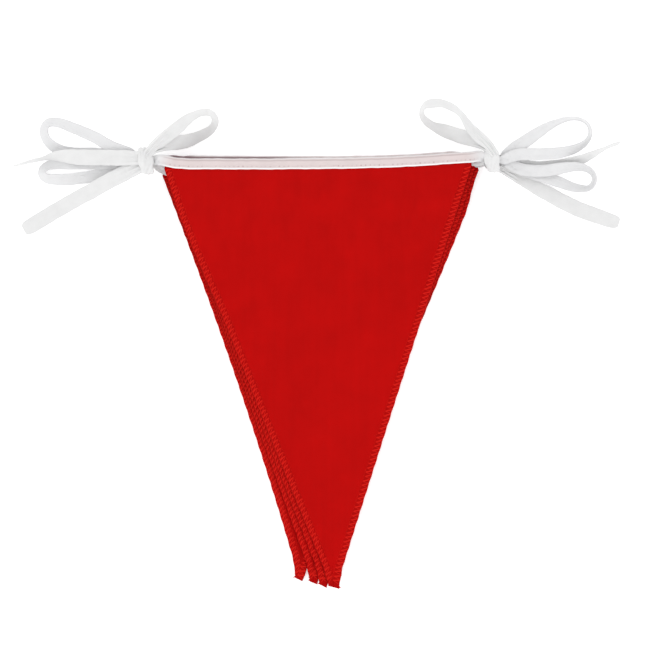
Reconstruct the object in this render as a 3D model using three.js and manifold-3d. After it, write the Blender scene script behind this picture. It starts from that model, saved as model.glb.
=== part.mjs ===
// A string of bunting folded away flat: five red cloth pennants, sewn into one white
// fold-over tape, lie back and forth on each other. At both sides the tape leaves the
// pile in bare loops, and a white tie gathers them in a half bow with two free tails.
// Millimetres, +Z up: the pile lies on its back, pennant tips towards -Y.
import * as THREE from "three";
import { mergeVertices } from "three/addons/utils/BufferGeometryUtils.js";
import Module from "manifold-3d";

const wasm = await Module();
wasm.setup();

// Thicknesses, and the air between the pieces
const CLOTH_THICK = 1.0;
const TAPE_THICK = 1.0;
const FIT = 0.3;
const FOLD_THICK = 2 * TAPE_THICK + CLOTH_THICK + 2 * FIT;
const KNEE_THICK = FOLD_THICK - FIT;
const STRAND_THICK = 1.2;

// Heights of the layers: along the tape, down on the pile and inside a knot
const FOLD_PITCH = FOLD_THICK + FIT;
const PILE_PITCH = CLOTH_THICK + 0.4;
const STRAND_PITCH = 2.2;

// The tape: the folded band, the same band gathered in a knot, and the ties
const BAND_WIDE = 7.6;
const STRAND_WIDE = 7.0;
const TIE_WIDE = 10.0;
const EDGE_ROUND = 0.3;

// One cut pennant, and how deep its top edge sits in the folded band
const TOP_HALF = 99.6;
const TOP_X = -2.5;
const TIP_X = 6.8;
const BOW = 1.1;
const DRIFT_BEND = 2.2;
const PINCH = 2.0;
const PINCH_END = 0.05;
const TIP_SLANT = 1.0;
const IN_BAND = 5.4;
const SQUARE_TOP = 0.02;

// The right edges of the two pennants behind the front one swell out below the band: from
// start on, fully at full, and fading from fade to end, as parts of a pennant's height
const SWELL = { start: 0.04, full: 0.13, fade: 0.08, end: 0.55 };

// The drop from the band to the pile starts and ends this far below the band's middle.
// A ripple runs across the cloth: its height, its length and its slant down the pile.
const DROP_START = 9;
const DROP_END = 62;
const RIPPLE_HIGH = 1.2;
const RIPPLE_LONG = 104;
const RIPPLE_LEAN = 0.24;

// The middle line of the front band, from its left end to its right end
const BAND_LINE = [
  { x: -105, y: 104.4 },
  { x: -96, y: 102.4 },
  { x: -85, y: 101.7 },
  { x: -50, y: 101.5 },
  { x: 0, y: 101.5 },
  { x: 40, y: 102.1 },
  { x: 70, y: 103.7 },
  { x: 102, y: 105.9 },
];

// One row for each pennant, front first. shift, sway and drift move its middle line
// sideways at once, evenly and towards the tip; wider adds to each half of its top, and
// swell is how far its right edge swells out.
// left and right lift the ends of its band, dipLeft and dipRight let its corners down.
const LAYERS = [
  {
    name: "pennant_1", shift: 0, sway: 0, drift: 0, wider: 0, swell: 0,
    tipHalf: 3.6, tipY: -169.3,
    left: 0, right: 0, dipLeft: 0, dipRight: 0,
  },
  {
    name: "pennant_2", shift: 1.0, sway: -5.3, drift: -2.4, wider: 1.4, swell: 1.5,
    tipHalf: 2.6, tipY: -168.7,
    left: 0.5, right: 0.3, dipLeft: 0, dipRight: 1.8,
  },
  {
    name: "pennant_3", shift: 2.4, sway: -9.2, drift: -6.5, wider: 2.6, swell: 2.3,
    tipHalf: 2.8, tipY: -166.6,
    left: 1.4, right: 1.2, dipLeft: 1.0, dipRight: 4.2,
  },
  {
    name: "pennant_4", shift: -0.1, sway: -4.0, drift: -17.8, wider: 3.0, swell: 0,
    tipHalf: 2.6, tipY: -164.6,
    left: 1.0, right: 0.8, dipLeft: 4.6, dipRight: 3.0,
  },
  {
    name: "pennant_5", shift: 0.5, sway: -4.0, drift: -12.0, wider: 0.5, swell: 0,
    tipHalf: 2.6, tipY: -165.6,
    left: 0.7, right: 0.5, dipLeft: 2.0, dipRight: 2.0,
  },
];
const DIP_START = 85;
const DIP_END = 103;

// The rows down a pennant, as parts of its height, closer where it bends, and the
// number of steps across it and along one stretch of the band
const ROWS = [
  0, SQUARE_TOP, 0.05, 0.07, 0.09, 0.11, 0.13, 0.155, 0.18, 0.21, 0.25,
  0.34, 0.45, 0.56, 0.67, 0.78, 0.87, 0.94, 1,
];
const COLUMNS = 10;
const BAND_STEPS = 9;

// The two knots: inner and outer face of the wrap, the middle of the strands, and
// where the strands start to close up. The strands run straight a little way past both
// faces, and the raw ends stop inside. The knot proper is a lump on top of the wrap.
const KNOTS = {
  left: { inner: -109, outer: -117, y: 104.2, knee: -104.9 },
  right: { inner: 105.5, outer: 113.5, y: 104.6, knee: 101.6 },
};
const STRAND_MID_Z = 2 * FOLD_PITCH + FOLD_THICK / 2;
const STRAIGHT_PAST = 1.2;
const STRAIGHT_BEFORE = 0.9;
const TUNNEL_PAST = 2.0;
const RAW_END_INSIDE = 0.5;
const WRAP_WALL_Z = 1.5;
const WRAP_WALL_Y = 2.9;
const WRAP_ROUND = 2.4;
const KNOT_HALF = { x: 5, y: 8.2, z: 3.4 };
const KNOT_SHIFT = { out: 0.6, y: -0.6, z: 6.4 };
const KNOT_FACETS = { round: 14, high: 10 };
const CORNER_FACETS = 3;

// Bare returns of the band beyond the knots, each from the higher strand to the lower.
// turn is the tilt of the tape about its own run, in degrees, 0 where it lies flat.
const RETURN_UPPER_LEFT = [
  { x: -124.5, y: 108.8, z: 11.4, turn: 0 },
  { x: -134.7, y: 112.6, z: 10.4, turn: 4 },
  { x: -147.5, y: 119.7, z: 8.8, turn: 14 },
  { x: -160.3, y: 125.1, z: 6.8, turn: 25 },
  { x: -169.9, y: 128.4, z: 5.0, turn: 40 },
  { x: -175.7, y: 128.3, z: 4.2, turn: 50 },
  { x: -178.2, y: 123.5, z: 3.9, turn: 55 },
  { x: -176.3, y: 117.4, z: 4.1, turn: 48 },
  { x: -170.6, y: 112.0, z: 5.0, turn: 32 },
  { x: -161.6, y: 108.8, z: 6.2, turn: 12 },
  { x: -148.8, y: 108.5, z: 7.4, turn: 0 },
  { x: -134.7, y: 106.9, z: 8.6, turn: 0 },
  { x: -124.5, y: 105.0, z: 9.3, turn: 0 },
];
const RETURN_LOWER_LEFT = [
  { x: -124.5, y: 103.4, z: 6.9, turn: 0 },
  { x: -137.3, y: 102.5, z: 6.0, turn: 0 },
  { x: -150.1, y: 101.7, z: 5.2, turn: 4 },
  { x: -162.9, y: 101.2, z: 4.6, turn: 14 },
  { x: -171.8, y: 100.8, z: 4.1, turn: 34 },
  { x: -177.6, y: 99.4, z: 3.8, turn: 52 },
  { x: -179.5, y: 96.4, z: 3.7, turn: 57 },
  { x: -177.6, y: 93.2, z: 3.5, turn: 50 },
  { x: -171.2, y: 92.0, z: 2.9, turn: 30 },
  { x: -161.6, y: 92.2, z: 2.2, turn: 12 },
  { x: -148.8, y: 93.9, z: 2.1, turn: 0 },
  { x: -136.0, y: 97.4, z: 3.0, turn: 0 },
  { x: -124.5, y: 101.1, z: 4.4, turn: 0 },
];
const RETURN_UPPER_RIGHT = [
  { x: 123.8, y: 107.5, z: 13.0, turn: 0 },
  { x: 134.7, y: 108.1, z: 11.6, turn: 4 },
  { x: 147.5, y: 108.5, z: 9.4, turn: 14 },
  { x: 159.7, y: 111.4, z: 6.8, turn: 32 },
  { x: 167.4, y: 116.2, z: 5.0, turn: 50 },
  { x: 170.1, y: 121.9, z: 4.2, turn: 58 },
  { x: 167.4, y: 127.6, z: 4.1, turn: 55 },
  { x: 159.7, y: 129.6, z: 4.6, turn: 45 },
  { x: 149.6, y: 127.0, z: 5.8, turn: 28, wide: 8 },
  { x: 139.6, y: 121.9, z: 7.4, turn: 14, wide: 8.4 },
  { x: 129.4, y: 116.2, z: 9.4, turn: 6, wide: 8.4 },
  { x: 119.7, y: 109.8, z: 11.2, turn: 0 },
];
const RETURN_LOWER_RIGHT = [
  { x: 124.5, y: 99.2, z: 8.4, turn: 0 },
  { x: 133.4, y: 97.6, z: 7.6, turn: 0 },
  { x: 142.4, y: 97.5, z: 7.0, turn: 4 },
  { x: 152.0, y: 98.9, z: 6.4, turn: 12 },
  { x: 161.6, y: 99.4, z: 5.6, turn: 28 },
  { x: 169.3, y: 97.3, z: 4.6, turn: 46 },
  { x: 172.9, y: 92.5, z: 3.9, turn: 56 },
  { x: 170.2, y: 87.7, z: 3.8, turn: 50 },
  { x: 162.9, y: 87.2, z: 3.8, turn: 34 },
  { x: 152.6, y: 90.0, z: 3.9, turn: 16 },
  { x: 142.4, y: 93.4, z: 4.1, turn: 6 },
  { x: 131.5, y: 96.6, z: 4.6, turn: 0 },
  { x: 121.3, y: 101.2, z: 6.2, turn: 0 },
];

// The ties: an inward loop of the half bow and two tails on each side
const LEFT_LOOP = [
  { x: -113.2, y: 106.2, z: 17.8, turn: 0, wide: 5.6 },
  { x: -108.9, y: 112.0, z: 19.2, turn: 0, wide: 6 },
  { x: -103.6, y: 116.4, z: 18.0, turn: -8, wide: 8 },
  { x: -95.0, y: 123.5, z: 12.4, turn: -28 },
  { x: -86.1, y: 130.8, z: 8.4, turn: -45 },
  { x: -78.4, y: 134.4, z: 6.2, turn: -55 },
  { x: -73.0, y: 134.2, z: 5.4, turn: -60 },
  { x: -70.1, y: 129.9, z: 5.2, turn: -60 },
  { x: -72.3, y: 124.2, z: 5.3, turn: -52 },
  { x: -79.7, y: 119.7, z: 6.6, turn: -42 },
  { x: -88.6, y: 116.4, z: 9.6, turn: -26 },
  { x: -97.6, y: 114.8, z: 13.6, turn: -10, wide: 9 },
  { x: -104.6, y: 112.6, z: 16.6, turn: 0, wide: 7 },
  { x: -109.0, y: 110.2, z: 17.8, turn: 0, wide: 5.6 },
  { x: -113.6, y: 105.4, z: 16.6, turn: 0, wide: 5.6 },
];
const LEFT_LONG_TAIL = [
  { x: -111.0, y: 105.3, z: 16.4, turn: 0 },
  { x: -119.4, y: 105.3, z: 16.2, turn: 0 },
  { x: -127.0, y: 105.6, z: 14.8, turn: 0 },
  { x: -137.3, y: 105.7, z: 13.0, turn: 0 },
  { x: -147.5, y: 105.9, z: 11.4, turn: 0 },
  { x: -157.1, y: 106.2, z: 10.2, turn: -12 },
  { x: -165.4, y: 106.7, z: 9.3, turn: -35 },
  { x: -171.8, y: 106.6, z: 8.3, turn: -60 },
  { x: -179.5, y: 105.3, z: 7.0, turn: -75 },
  { x: -188.5, y: 103.2, z: 6.0, turn: -80 },
  { x: -196.5, y: 101.1, z: 5.0, turn: -82, wide: 8 },
];
const LEFT_FLAT_TAIL = [
  { x: -111.0, y: 103.4, z: 15.6, turn: 0 },
  { x: -119.4, y: 99.2, z: 14.6, turn: 0 },
  { x: -128.3, y: 95.0, z: 12.2, turn: 0 },
  { x: -138.6, y: 89.9, z: 9.4, turn: 0 },
  { x: -148.8, y: 84.2, z: 6.4, turn: 0 },
  { x: -159.0, y: 78.7, z: 3.4, turn: 0 },
  { x: -169.3, y: 73.0, z: 1.3, turn: 0 },
  { x: -178.2, y: 67.8, z: 0.7, turn: 0 },
  { x: -187.2, y: 62.4, z: 0.6, turn: 0 },
  { x: -190.6, y: 60.4, z: 0.6, turn: 0, wide: 5 },
];
const RIGHT_LOOP = [
  { x: 110.4, y: 106.8, z: 17.8, turn: 0, wide: 5.6 },
  { x: 106.4, y: 112.4, z: 19.1, turn: 0, wide: 6 },
  { x: 101.2, y: 117.8, z: 17.8, turn: 20, wide: 8 },
  { x: 94.4, y: 124.8, z: 13.4, turn: 48 },
  { x: 88.3, y: 133.4, z: 9.6, turn: 68 },
  { x: 81.6, y: 138.9, z: 7.2, turn: 66 },
  { x: 75.2, y: 140.6, z: 6.0, turn: 58 },
  { x: 69.1, y: 140.5, z: 5.4, turn: 55 },
  { x: 64.8, y: 137.6, z: 5.0, turn: 55 },
  { x: 64.2, y: 133.1, z: 4.8, turn: 50 },
  { x: 68.8, y: 128.4, z: 5.0, turn: 36 },
  { x: 77.8, y: 123.6, z: 6.6, turn: 30 },
  { x: 86.7, y: 119.8, z: 9.8, turn: 24 },
  { x: 95.7, y: 117.0, z: 13.8, turn: 10, wide: 9 },
  { x: 102.3, y: 114.2, z: 16.6, turn: 0, wide: 7 },
  { x: 106.6, y: 110.6, z: 17.6, turn: 0, wide: 5.6 },
  { x: 111.0, y: 105.6, z: 16.6, turn: 0, wide: 5.6 },
];
const RIGHT_LONG_TAIL = [
  { x: 107.2, y: 103.4, z: 3.5, turn: 0 },
  { x: 114.9, y: 103.0, z: 3.4, turn: 0 },
  { x: 121.3, y: 101.4, z: 2.7, turn: 0 },
  { x: 131.5, y: 99.4, z: 2.2, turn: 0 },
  { x: 142.4, y: 98.9, z: 2.1, turn: 4 },
  { x: 152.0, y: 100.2, z: 2.7, turn: 16 },
  { x: 161.6, y: 103.2, z: 4.1, turn: 40 },
  { x: 171.2, y: 107.5, z: 5.1, turn: 62 },
  { x: 180.8, y: 111.7, z: 5.4, turn: 76 },
  { x: 190.4, y: 115.5, z: 4.8, turn: 80, wide: 8 },
];
const RIGHT_FLAT_TAIL = [
  { x: 109.5, y: 101.4, z: 3.5, turn: 0, wide: 5.6 },
  { x: 114.6, y: 99.0, z: 3.0, turn: 0, wide: 6 },
  { x: 121.0, y: 95.6, z: 1.5, turn: 0, wide: 6.5 },
  { x: 129.4, y: 90.8, z: 0.8, turn: 0, wide: 7.6 },
  { x: 142.4, y: 83.8, z: 0.6, turn: 0, wide: 9.6 },
  { x: 156.5, y: 76.5, z: 0.6, turn: 0 },
  { x: 170.3, y: 70.4, z: 0.6, turn: 0 },
  { x: 184.0, y: 65.7, z: 0.6, turn: 0 },
  { x: 188.4, y: 64.4, z: 0.6, turn: 0, wide: 5.5 },
];

const CLOTH = { color: 0xbc1210, roughness: 0.85, metalness: 0 };
const TAPE = { color: 0xeeeef0, roughness: 0.8, metalness: 0 };

const { lerp, smoothstep, degToRad } = THREE.MathUtils;
const UP = new THREE.Vector3(0, 0, 1);

// A step for slopes, as a part of a surface, and the distance at which points are one
const NEAR = 1e-3;
const WELD = 1e-4;

// The value of a column of a table at x, on a smooth curve through its rows
function along(table, x, column) {
  const last = table.length - 2;
  const found = table.findIndex((row, i) => i <= last && x <= table[i + 1].x);
  const i = found < 0 ? last : found;
  const slope = (j) => {
    const a = table[Math.max(j - 1, 0)];
    const b = table[Math.min(j + 1, last + 1)];
    return (b[column] - a[column]) / (b.x - a.x);
  };
  const span = table[i + 1].x - table[i].x;
  const t = (x - table[i].x) / span;
  if (t < 0) return table[i][column] + slope(i) * span * t;
  if (t > 1) return table[i + 1][column] + slope(i + 1) * span * (t - 1);
  const rise = table[i + 1][column] - table[i][column];
  const start = slope(i) * span;
  const end = slope(i + 1) * span;
  const bend = start + end - 2 * rise;
  return table[i][column] + t * (start + t * (rise - start - bend + t * bend));
}

const frontLine = (x) => along(BAND_LINE, x, "y");

function bandLine(layer, x) {
  const across = (x + TOP_HALF) / (2 * TOP_HALF);
  const dip = x < 0 ? layer.dipLeft : layer.dipRight;
  const dipped = dip * smoothstep(Math.abs(x), DIP_START, DIP_END);
  return frontLine(x) + lerp(layer.left, layer.right, across) - dipped;
}

const foldHeight = (index) => (LAYERS.length - 1 - index) * FOLD_PITCH + FOLD_THICK / 2;
const pileHeight = (index) => (LAYERS.length - 1 - index) * PILE_PITCH + CLOTH_THICK / 2;
const strandHeight = (index) => STRAND_MID_Z + ((LAYERS.length - 1) / 2 - index) * STRAND_PITCH;

function middleLine(layer, t) {
  const cut = lerp(TOP_X, TIP_X, t) - BOW * 4 * t * (1 - t);
  return cut + layer.shift + layer.sway * t + layer.drift * t ** DRIFT_BEND;
}

// Half of a pennant's width: straight sides, drawn in a little above the blunt tip
function halfWidth(layer, t) {
  const drawnIn = PINCH * t * t * Math.min(1, (1 - t) / PINCH_END);
  return lerp(TOP_HALF + layer.wider, layer.tipHalf, t) - drawnIn;
}

// How far a pennant's right half is pushed out, nothing at its middle line
function swellOut(layer, u, t) {
  const risen = smoothstep(t, SWELL.start, SWELL.full);
  return layer.swell * Math.max(u, 0) ** 2 * risen * (1 - smoothstep(t, SWELL.fade, SWELL.end));
}

// Height of a layer's cloth: level in its band, then down on to the pile, where the
// upper layers carry a slight ripple that the lowest one has pressed out of it
function clothHeight(index, x, y) {
  const fallen = smoothstep(frontLine(x) - y, DROP_START, DROP_END);
  const share = (LAYERS.length - 1 - index) / (LAYERS.length - 1);
  const wave = Math.sin((2 * Math.PI * (x + RIPPLE_LEAN * y)) / RIPPLE_LONG);
  const ripple = (RIPPLE_HIGH * (1 + wave)) / 2;
  return lerp(foldHeight(index), pileHeight(index) + share * ripple, fallen);
}

// A point of a pennant's middle surface: u runs across from -1 to 1, t down from 0 to 1
function pennantPoint(index, u, t) {
  const layer = LAYERS[index];
  const across = (part) => middleLine(layer, part) + u * halfWidth(layer, part);
  const topY = bandLine(layer, across(SQUARE_TOP)) - BAND_WIDE / 2 + IN_BAND;
  const x = across(Math.max(t, SQUARE_TOP)) + swellOut(layer, u, t);
  const y = lerp(topY, layer.tipY - u * TIP_SLANT, t);
  return new THREE.Vector3(x, y, clothHeight(index, x, y));
}

// The pocket that a pennant's top edge and its air take out of the folded band, from
// above the cloth's edge down to a place clear below the band
function pocketPoint(index, u, t) {
  const layer = LAYERS[index];
  const x = middleLine(layer, SQUARE_TOP) + u * (halfWidth(layer, SQUARE_TOP) + FIT);
  const y = bandLine(layer, x) - BAND_WIDE / 2 + lerp(IN_BAND + FIT, -FIT, t);
  return new THREE.Vector3(x, y, foldHeight(index));
}

// The two end faces of a run of rings: a fan for a round section, or for a sheet the
// squares between its lower points and the upper ones, which come back over them
function fan(size) {
  return Array.from({ length: size - 2 }, (_, j) => [0, j + 2, j + 1]);
}

function squares(size) {
  return Array.from({ length: size / 2 - 1 }, (_, j) => {
    const over = size - 1 - j;
    return [[j, over, over - 1], [j, over - 1, j + 1]];
  }).flat();
}

// A closed mesh from rings of points, each ring joined to the next, with the first and
// last ring filled. The points of a ring run anticlockwise seen from the next ring.
function skin(rings, fill) {
  const size = rings[0].length;
  const index = [];
  for (let i = 0; i + 1 < rings.length; i++) {
    for (let j = 0; j < size; j++) {
      const a = i * size + j;
      const b = i * size + ((j + 1) % size);
      index.push(a, b, b + size, a, b + size, a + size);
    }
  }
  const end = (rings.length - 1) * size;
  for (const [a, b, c] of fill(size)) {
    index.push(a, b, c, end + a, end + c, end + b);
  }
  const geometry = new THREE.BufferGeometry().setFromPoints(rings.flat());
  geometry.setIndex(index);
  return geometry;
}

// A sheet of even thickness about a surface point(u, t), with u from -1 to 1
function sheet(point, rows, thick) {
  const at = (u, t, side) => {
    const across = point(u + NEAR, t).sub(point(u - NEAR, t));
    const down = point(u, t + NEAR).sub(point(u, t - NEAR));
    const normal = down.cross(across).normalize();
    return point(u, t).addScaledVector(normal, (side * thick) / 2);
  };
  const places = Array.from({ length: COLUMNS + 1 }, (_, i) => (2 * i) / COLUMNS - 1);
  const rings = rows.map((t) => [
    ...places.map((u) => at(u, t, -1)),
    ...places.toReversed().map((u) => at(u, t, 1)),
  ]);
  return skin(rings, squares);
}

// Stations on a smooth run through a table's rows, two to each row
function smoothRun(rows, wide, thick) {
  const curve = new THREE.CatmullRomCurve3(
    rows.map((row) => new THREE.Vector3(row.x, row.y, row.z)),
    false,
    "centripetal",
  );
  const last = rows.length - 1;
  const stations = [];
  for (let i = 0; i <= last; i += 0.5) {
    const from = rows[Math.floor(i)];
    const to = rows[Math.ceil(i)];
    const blend = (column, usual) => lerp(from[column] ?? usual, to[column] ?? usual, i % 1);
    stations.push({
      at: curve.getPoint(i / last),
      turn: blend("turn", 0),
      wide: blend("wide", wide),
      thick: blend("thick", thick),
    });
  }
  return stations;
}

// A tape swept along its stations, with slightly rounded edges
function tape(stations) {
  const rings = stations.map((station, i) => {
    const before = stations[Math.max(i - 1, 0)].at;
    const after = stations[Math.min(i + 1, stations.length - 1)].at;
    const run = after.clone().sub(before).normalize();
    const side = UP.clone().cross(run).normalize();
    const rise = run.clone().cross(side);
    const turn = degToRad(station.turn);
    const across = side.clone().multiplyScalar(Math.cos(turn)).addScaledVector(rise, Math.sin(turn));
    const face = run.clone().cross(across);
    const w = station.wide / 2;
    const h = station.thick / 2;
    const r = Math.min(EDGE_ROUND, h / 2);
    const outline = [
      [w - r, -h], [w, r - h], [w, h - r], [w - r, h],
      [r - w, h], [-w, h - r], [-w, r - h], [r - w, -h],
    ];
    return outline.map(([a, b]) =>
      station.at.clone().addScaledVector(across, a).addScaledVector(face, b),
    );
  });
  return skin(rings, fan);
}

function solid(geometry) {
  const bare = geometry.clone();
  bare.deleteAttribute("normal");
  bare.deleteAttribute("uv");
  const merged = mergeVertices(bare, WELD);
  return new wasm.Manifold(
    new wasm.Mesh({
      numProp: 3,
      vertProperties: new Float32Array(merged.attributes.position.array),
      triVerts: new Uint32Array(merged.index.array),
    }),
  );
}

function geometryOf(shape) {
  const made = shape.getMesh();
  const geometry = new THREE.BufferGeometry();
  geometry.setAttribute("position", new THREE.BufferAttribute(made.vertProperties, 3));
  geometry.setIndex(new THREE.BufferAttribute(made.triVerts, 1));
  geometry.computeVertexNormals();
  return geometry;
}

// The straight pass of one strand through a knot, from the pile's side outwards
function knotPass(index, knot, past = STRAIGHT_PAST) {
  const out = Math.sign(knot.outer - knot.inner);
  const height = strandHeight(index);
  return [knot.inner - out * STRAIGHT_BEFORE, knot.outer + out * past].map((x) => ({
    at: new THREE.Vector3(x, knot.y, height),
    turn: 0,
    wide: STRAND_WIDE,
    thick: STRAND_THICK,
  }));
}

// One stretch of the folded band over a pennant, from its left knee to its right knee
function bandPass(index) {
  const layer = LAYERS[index];
  return Array.from({ length: BAND_STEPS + 1 }, (_, i) => {
    const x = lerp(KNOTS.left.knee, KNOTS.right.knee, i / BAND_STEPS);
    return {
      at: new THREE.Vector3(x, bandLine(layer, x), foldHeight(index)),
      turn: 0,
      wide: BAND_WIDE,
      thick: i % BAND_STEPS === 0 ? KNEE_THICK : FOLD_THICK,
    };
  });
}

// A bare return between two strands that leave the same knot
function returnLoop(rows, index, knot) {
  const out = Math.sign(knot.outer - knot.inner);
  const mouth = (i) => ({
    x: knot.outer + out * STRAIGHT_PAST,
    y: knot.y,
    z: strandHeight(i),
    turn: 0,
    wide: STRAND_WIDE,
  });
  const run = smoothRun([mouth(index), ...rows, mouth(index + 1)], BAND_WIDE, STRAND_THICK);
  return run.slice(1, -1);
}

// The whole band: left end, then right, back, right, back and right again
function bandStations() {
  const { left, right } = KNOTS;
  return [
    ...knotPass(0, left, -RAW_END_INSIDE).toReversed(),
    ...bandPass(0),
    ...knotPass(0, right),
    ...returnLoop(RETURN_UPPER_RIGHT, 0, right),
    ...knotPass(1, right).toReversed(),
    ...bandPass(1).toReversed(),
    ...knotPass(1, left),
    ...returnLoop(RETURN_UPPER_LEFT, 1, left),
    ...knotPass(2, left).toReversed(),
    ...bandPass(2),
    ...knotPass(2, right),
    ...returnLoop(RETURN_LOWER_RIGHT, 2, right),
    ...knotPass(3, right).toReversed(),
    ...bandPass(3).toReversed(),
    ...knotPass(3, left),
    ...returnLoop(RETURN_LOWER_LEFT, 3, left),
    ...knotPass(4, left).toReversed(),
    ...bandPass(4),
    ...knotPass(4, right, -RAW_END_INSIDE),
  ];
}

function bandSolid() {
  return LAYERS.reduce((band, layer, index) => {
    const pocket = sheet((u, t) => pocketPoint(index, u, t), [0, 1], CLOTH_THICK + 2 * FIT);
    return band.subtract(solid(pocket));
  }, solid(tape(bandStations())));
}

// A bar of rounded rectangular section along X, centred on y and z
function bar(x0, x1, y, z, halfY, halfZ, round) {
  const outline = new THREE.Shape();
  outline.moveTo(halfY - round, -halfZ);
  outline.quadraticCurveTo(halfY, -halfZ, halfY, round - halfZ);
  outline.lineTo(halfY, halfZ - round);
  outline.quadraticCurveTo(halfY, halfZ, halfY - round, halfZ);
  outline.lineTo(round - halfY, halfZ);
  outline.quadraticCurveTo(-halfY, halfZ, -halfY, halfZ - round);
  outline.lineTo(-halfY, round - halfZ);
  outline.quadraticCurveTo(-halfY, -halfZ, round - halfY, -halfZ);
  const geometry = new THREE.ExtrudeGeometry(outline, {
    depth: Math.abs(x1 - x0),
    bevelEnabled: false,
    curveSegments: CORNER_FACETS,
  });
  const alongX = new THREE.Matrix4().set(
    0, 0, 1, Math.min(x0, x1),
    1, 0, 0, y,
    0, 1, 0, z,
    0, 0, 0, 1,
  );
  return solid(geometry.applyMatrix4(alongX));
}

// A tie: the wrap round the strands, the knot on top of it, one loop and two tails
function tieSolid(knot, runs) {
  const out = Math.sign(knot.outer - knot.inner);
  const strandsHalfZ = (STRAND_PITCH * (LAYERS.length - 1) + STRAND_THICK) / 2 + FIT;
  const strandsHalfY = STRAND_WIDE / 2 + FIT;
  const wrap = bar(
    knot.inner, knot.outer, knot.y, STRAND_MID_Z,
    strandsHalfY + WRAP_WALL_Y, strandsHalfZ + WRAP_WALL_Z, WRAP_ROUND,
  );
  const strands = bar(
    knot.inner - out * STRAIGHT_BEFORE, knot.outer + out * TUNNEL_PAST, knot.y, STRAND_MID_Z,
    strandsHalfY, strandsHalfZ, EDGE_ROUND,
  );
  const lump = new THREE.SphereGeometry(1, KNOT_FACETS.round, KNOT_FACETS.high);
  lump.scale(KNOT_HALF.x, KNOT_HALF.y, KNOT_HALF.z);
  lump.translate(
    (knot.inner + knot.outer) / 2 + out * KNOT_SHIFT.out,
    knot.y + KNOT_SHIFT.y,
    STRAND_MID_Z + KNOT_SHIFT.z,
  );
  return runs
    .map((rows) => solid(tape(smoothRun(rows, TIE_WIDE, TAPE_THICK))))
    .reduce((tie, run) => tie.add(run), wrap.add(solid(lump)))
    .subtract(strands);
}

function mesh(name, geometry, finish) {
  const made = new THREE.Mesh(geometry, new THREE.MeshStandardMaterial({ name, ...finish }));
  made.name = name;
  return made;
}

const pennants = new THREE.Group();
pennants.name = "pennants";
LAYERS.forEach((layer, index) => {
  const cloth = sheet((u, t) => pennantPoint(index, u, t), ROWS, CLOTH_THICK);
  pennants.add(mesh(layer.name, geometryOf(solid(cloth)), CLOTH));
});

const ties = new THREE.Group();
ties.name = "ties";
const leftTie = tieSolid(KNOTS.left, [LEFT_LOOP, LEFT_LONG_TAIL, LEFT_FLAT_TAIL]);
const rightTie = tieSolid(KNOTS.right, [RIGHT_LOOP, RIGHT_LONG_TAIL, RIGHT_FLAT_TAIL]);
ties.add(mesh("tie_left", geometryOf(leftTie), TAPE));
ties.add(mesh("tie_right", geometryOf(rightTie), TAPE));

const bunting = new THREE.Group();
bunting.name = "folded_bunting";
bunting.add(pennants, mesh("header_tape", geometryOf(bandSolid()), TAPE), ties);

// The origin is under the middle of the pile's box, on the surface that it lies on
const box = new THREE.Box3().setFromObject(bunting);
const middle = box.getCenter(new THREE.Vector3());
bunting.position.set(-middle.x, -middle.y, -box.min.z);

export default bunting;
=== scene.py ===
"""A string of bunting folded away flat and seen from above: five red cloth pennants sewn into
one white fold-over tape, laid back and forth, and tied at both sides in half bows. The shapes
below are worked out in millimetres in the pile's own plan and stored in metres."""

import math

import bpy
import numpy as np
from bpy.props import FloatProperty, FloatVectorProperty, PointerProperty
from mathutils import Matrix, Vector


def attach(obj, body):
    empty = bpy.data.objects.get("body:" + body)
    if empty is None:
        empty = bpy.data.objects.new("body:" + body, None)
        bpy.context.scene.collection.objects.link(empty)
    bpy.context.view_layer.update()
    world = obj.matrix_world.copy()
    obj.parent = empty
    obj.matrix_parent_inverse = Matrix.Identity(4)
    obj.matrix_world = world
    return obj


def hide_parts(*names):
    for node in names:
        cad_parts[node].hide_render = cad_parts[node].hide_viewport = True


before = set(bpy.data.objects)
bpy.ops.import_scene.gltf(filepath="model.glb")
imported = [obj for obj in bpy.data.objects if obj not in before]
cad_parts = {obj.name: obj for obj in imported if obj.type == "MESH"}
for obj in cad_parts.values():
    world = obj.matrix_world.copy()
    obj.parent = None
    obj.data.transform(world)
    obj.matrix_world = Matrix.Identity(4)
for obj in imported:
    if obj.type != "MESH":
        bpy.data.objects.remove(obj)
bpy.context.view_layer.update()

bl_info = {
    "name": "Folded bunting",
    "version": (1, 0, 0),
    "blender": (4, 5, 0),
    "location": "3D View > Sidebar > Bunting",
    "description": "Builds a string of pennants folded away flat, with its ties and its stage",
    "category": "Add Mesh",
}

MM = 0.001
UP = np.array([0.0, 0.0, 1.0])
# The plan's own origin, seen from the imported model's origin
ORIGIN = np.array([3.3026, 13.2018, 0.0])

# The middle line of the front band
BAND_X = np.array([-105, -96, -85, -50, 0, 40, 70, 102.0])
BAND_Y = np.array([104.4, 102.4, 101.7, 101.5, 101.5, 102.1, 103.7, 105.9])

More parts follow.
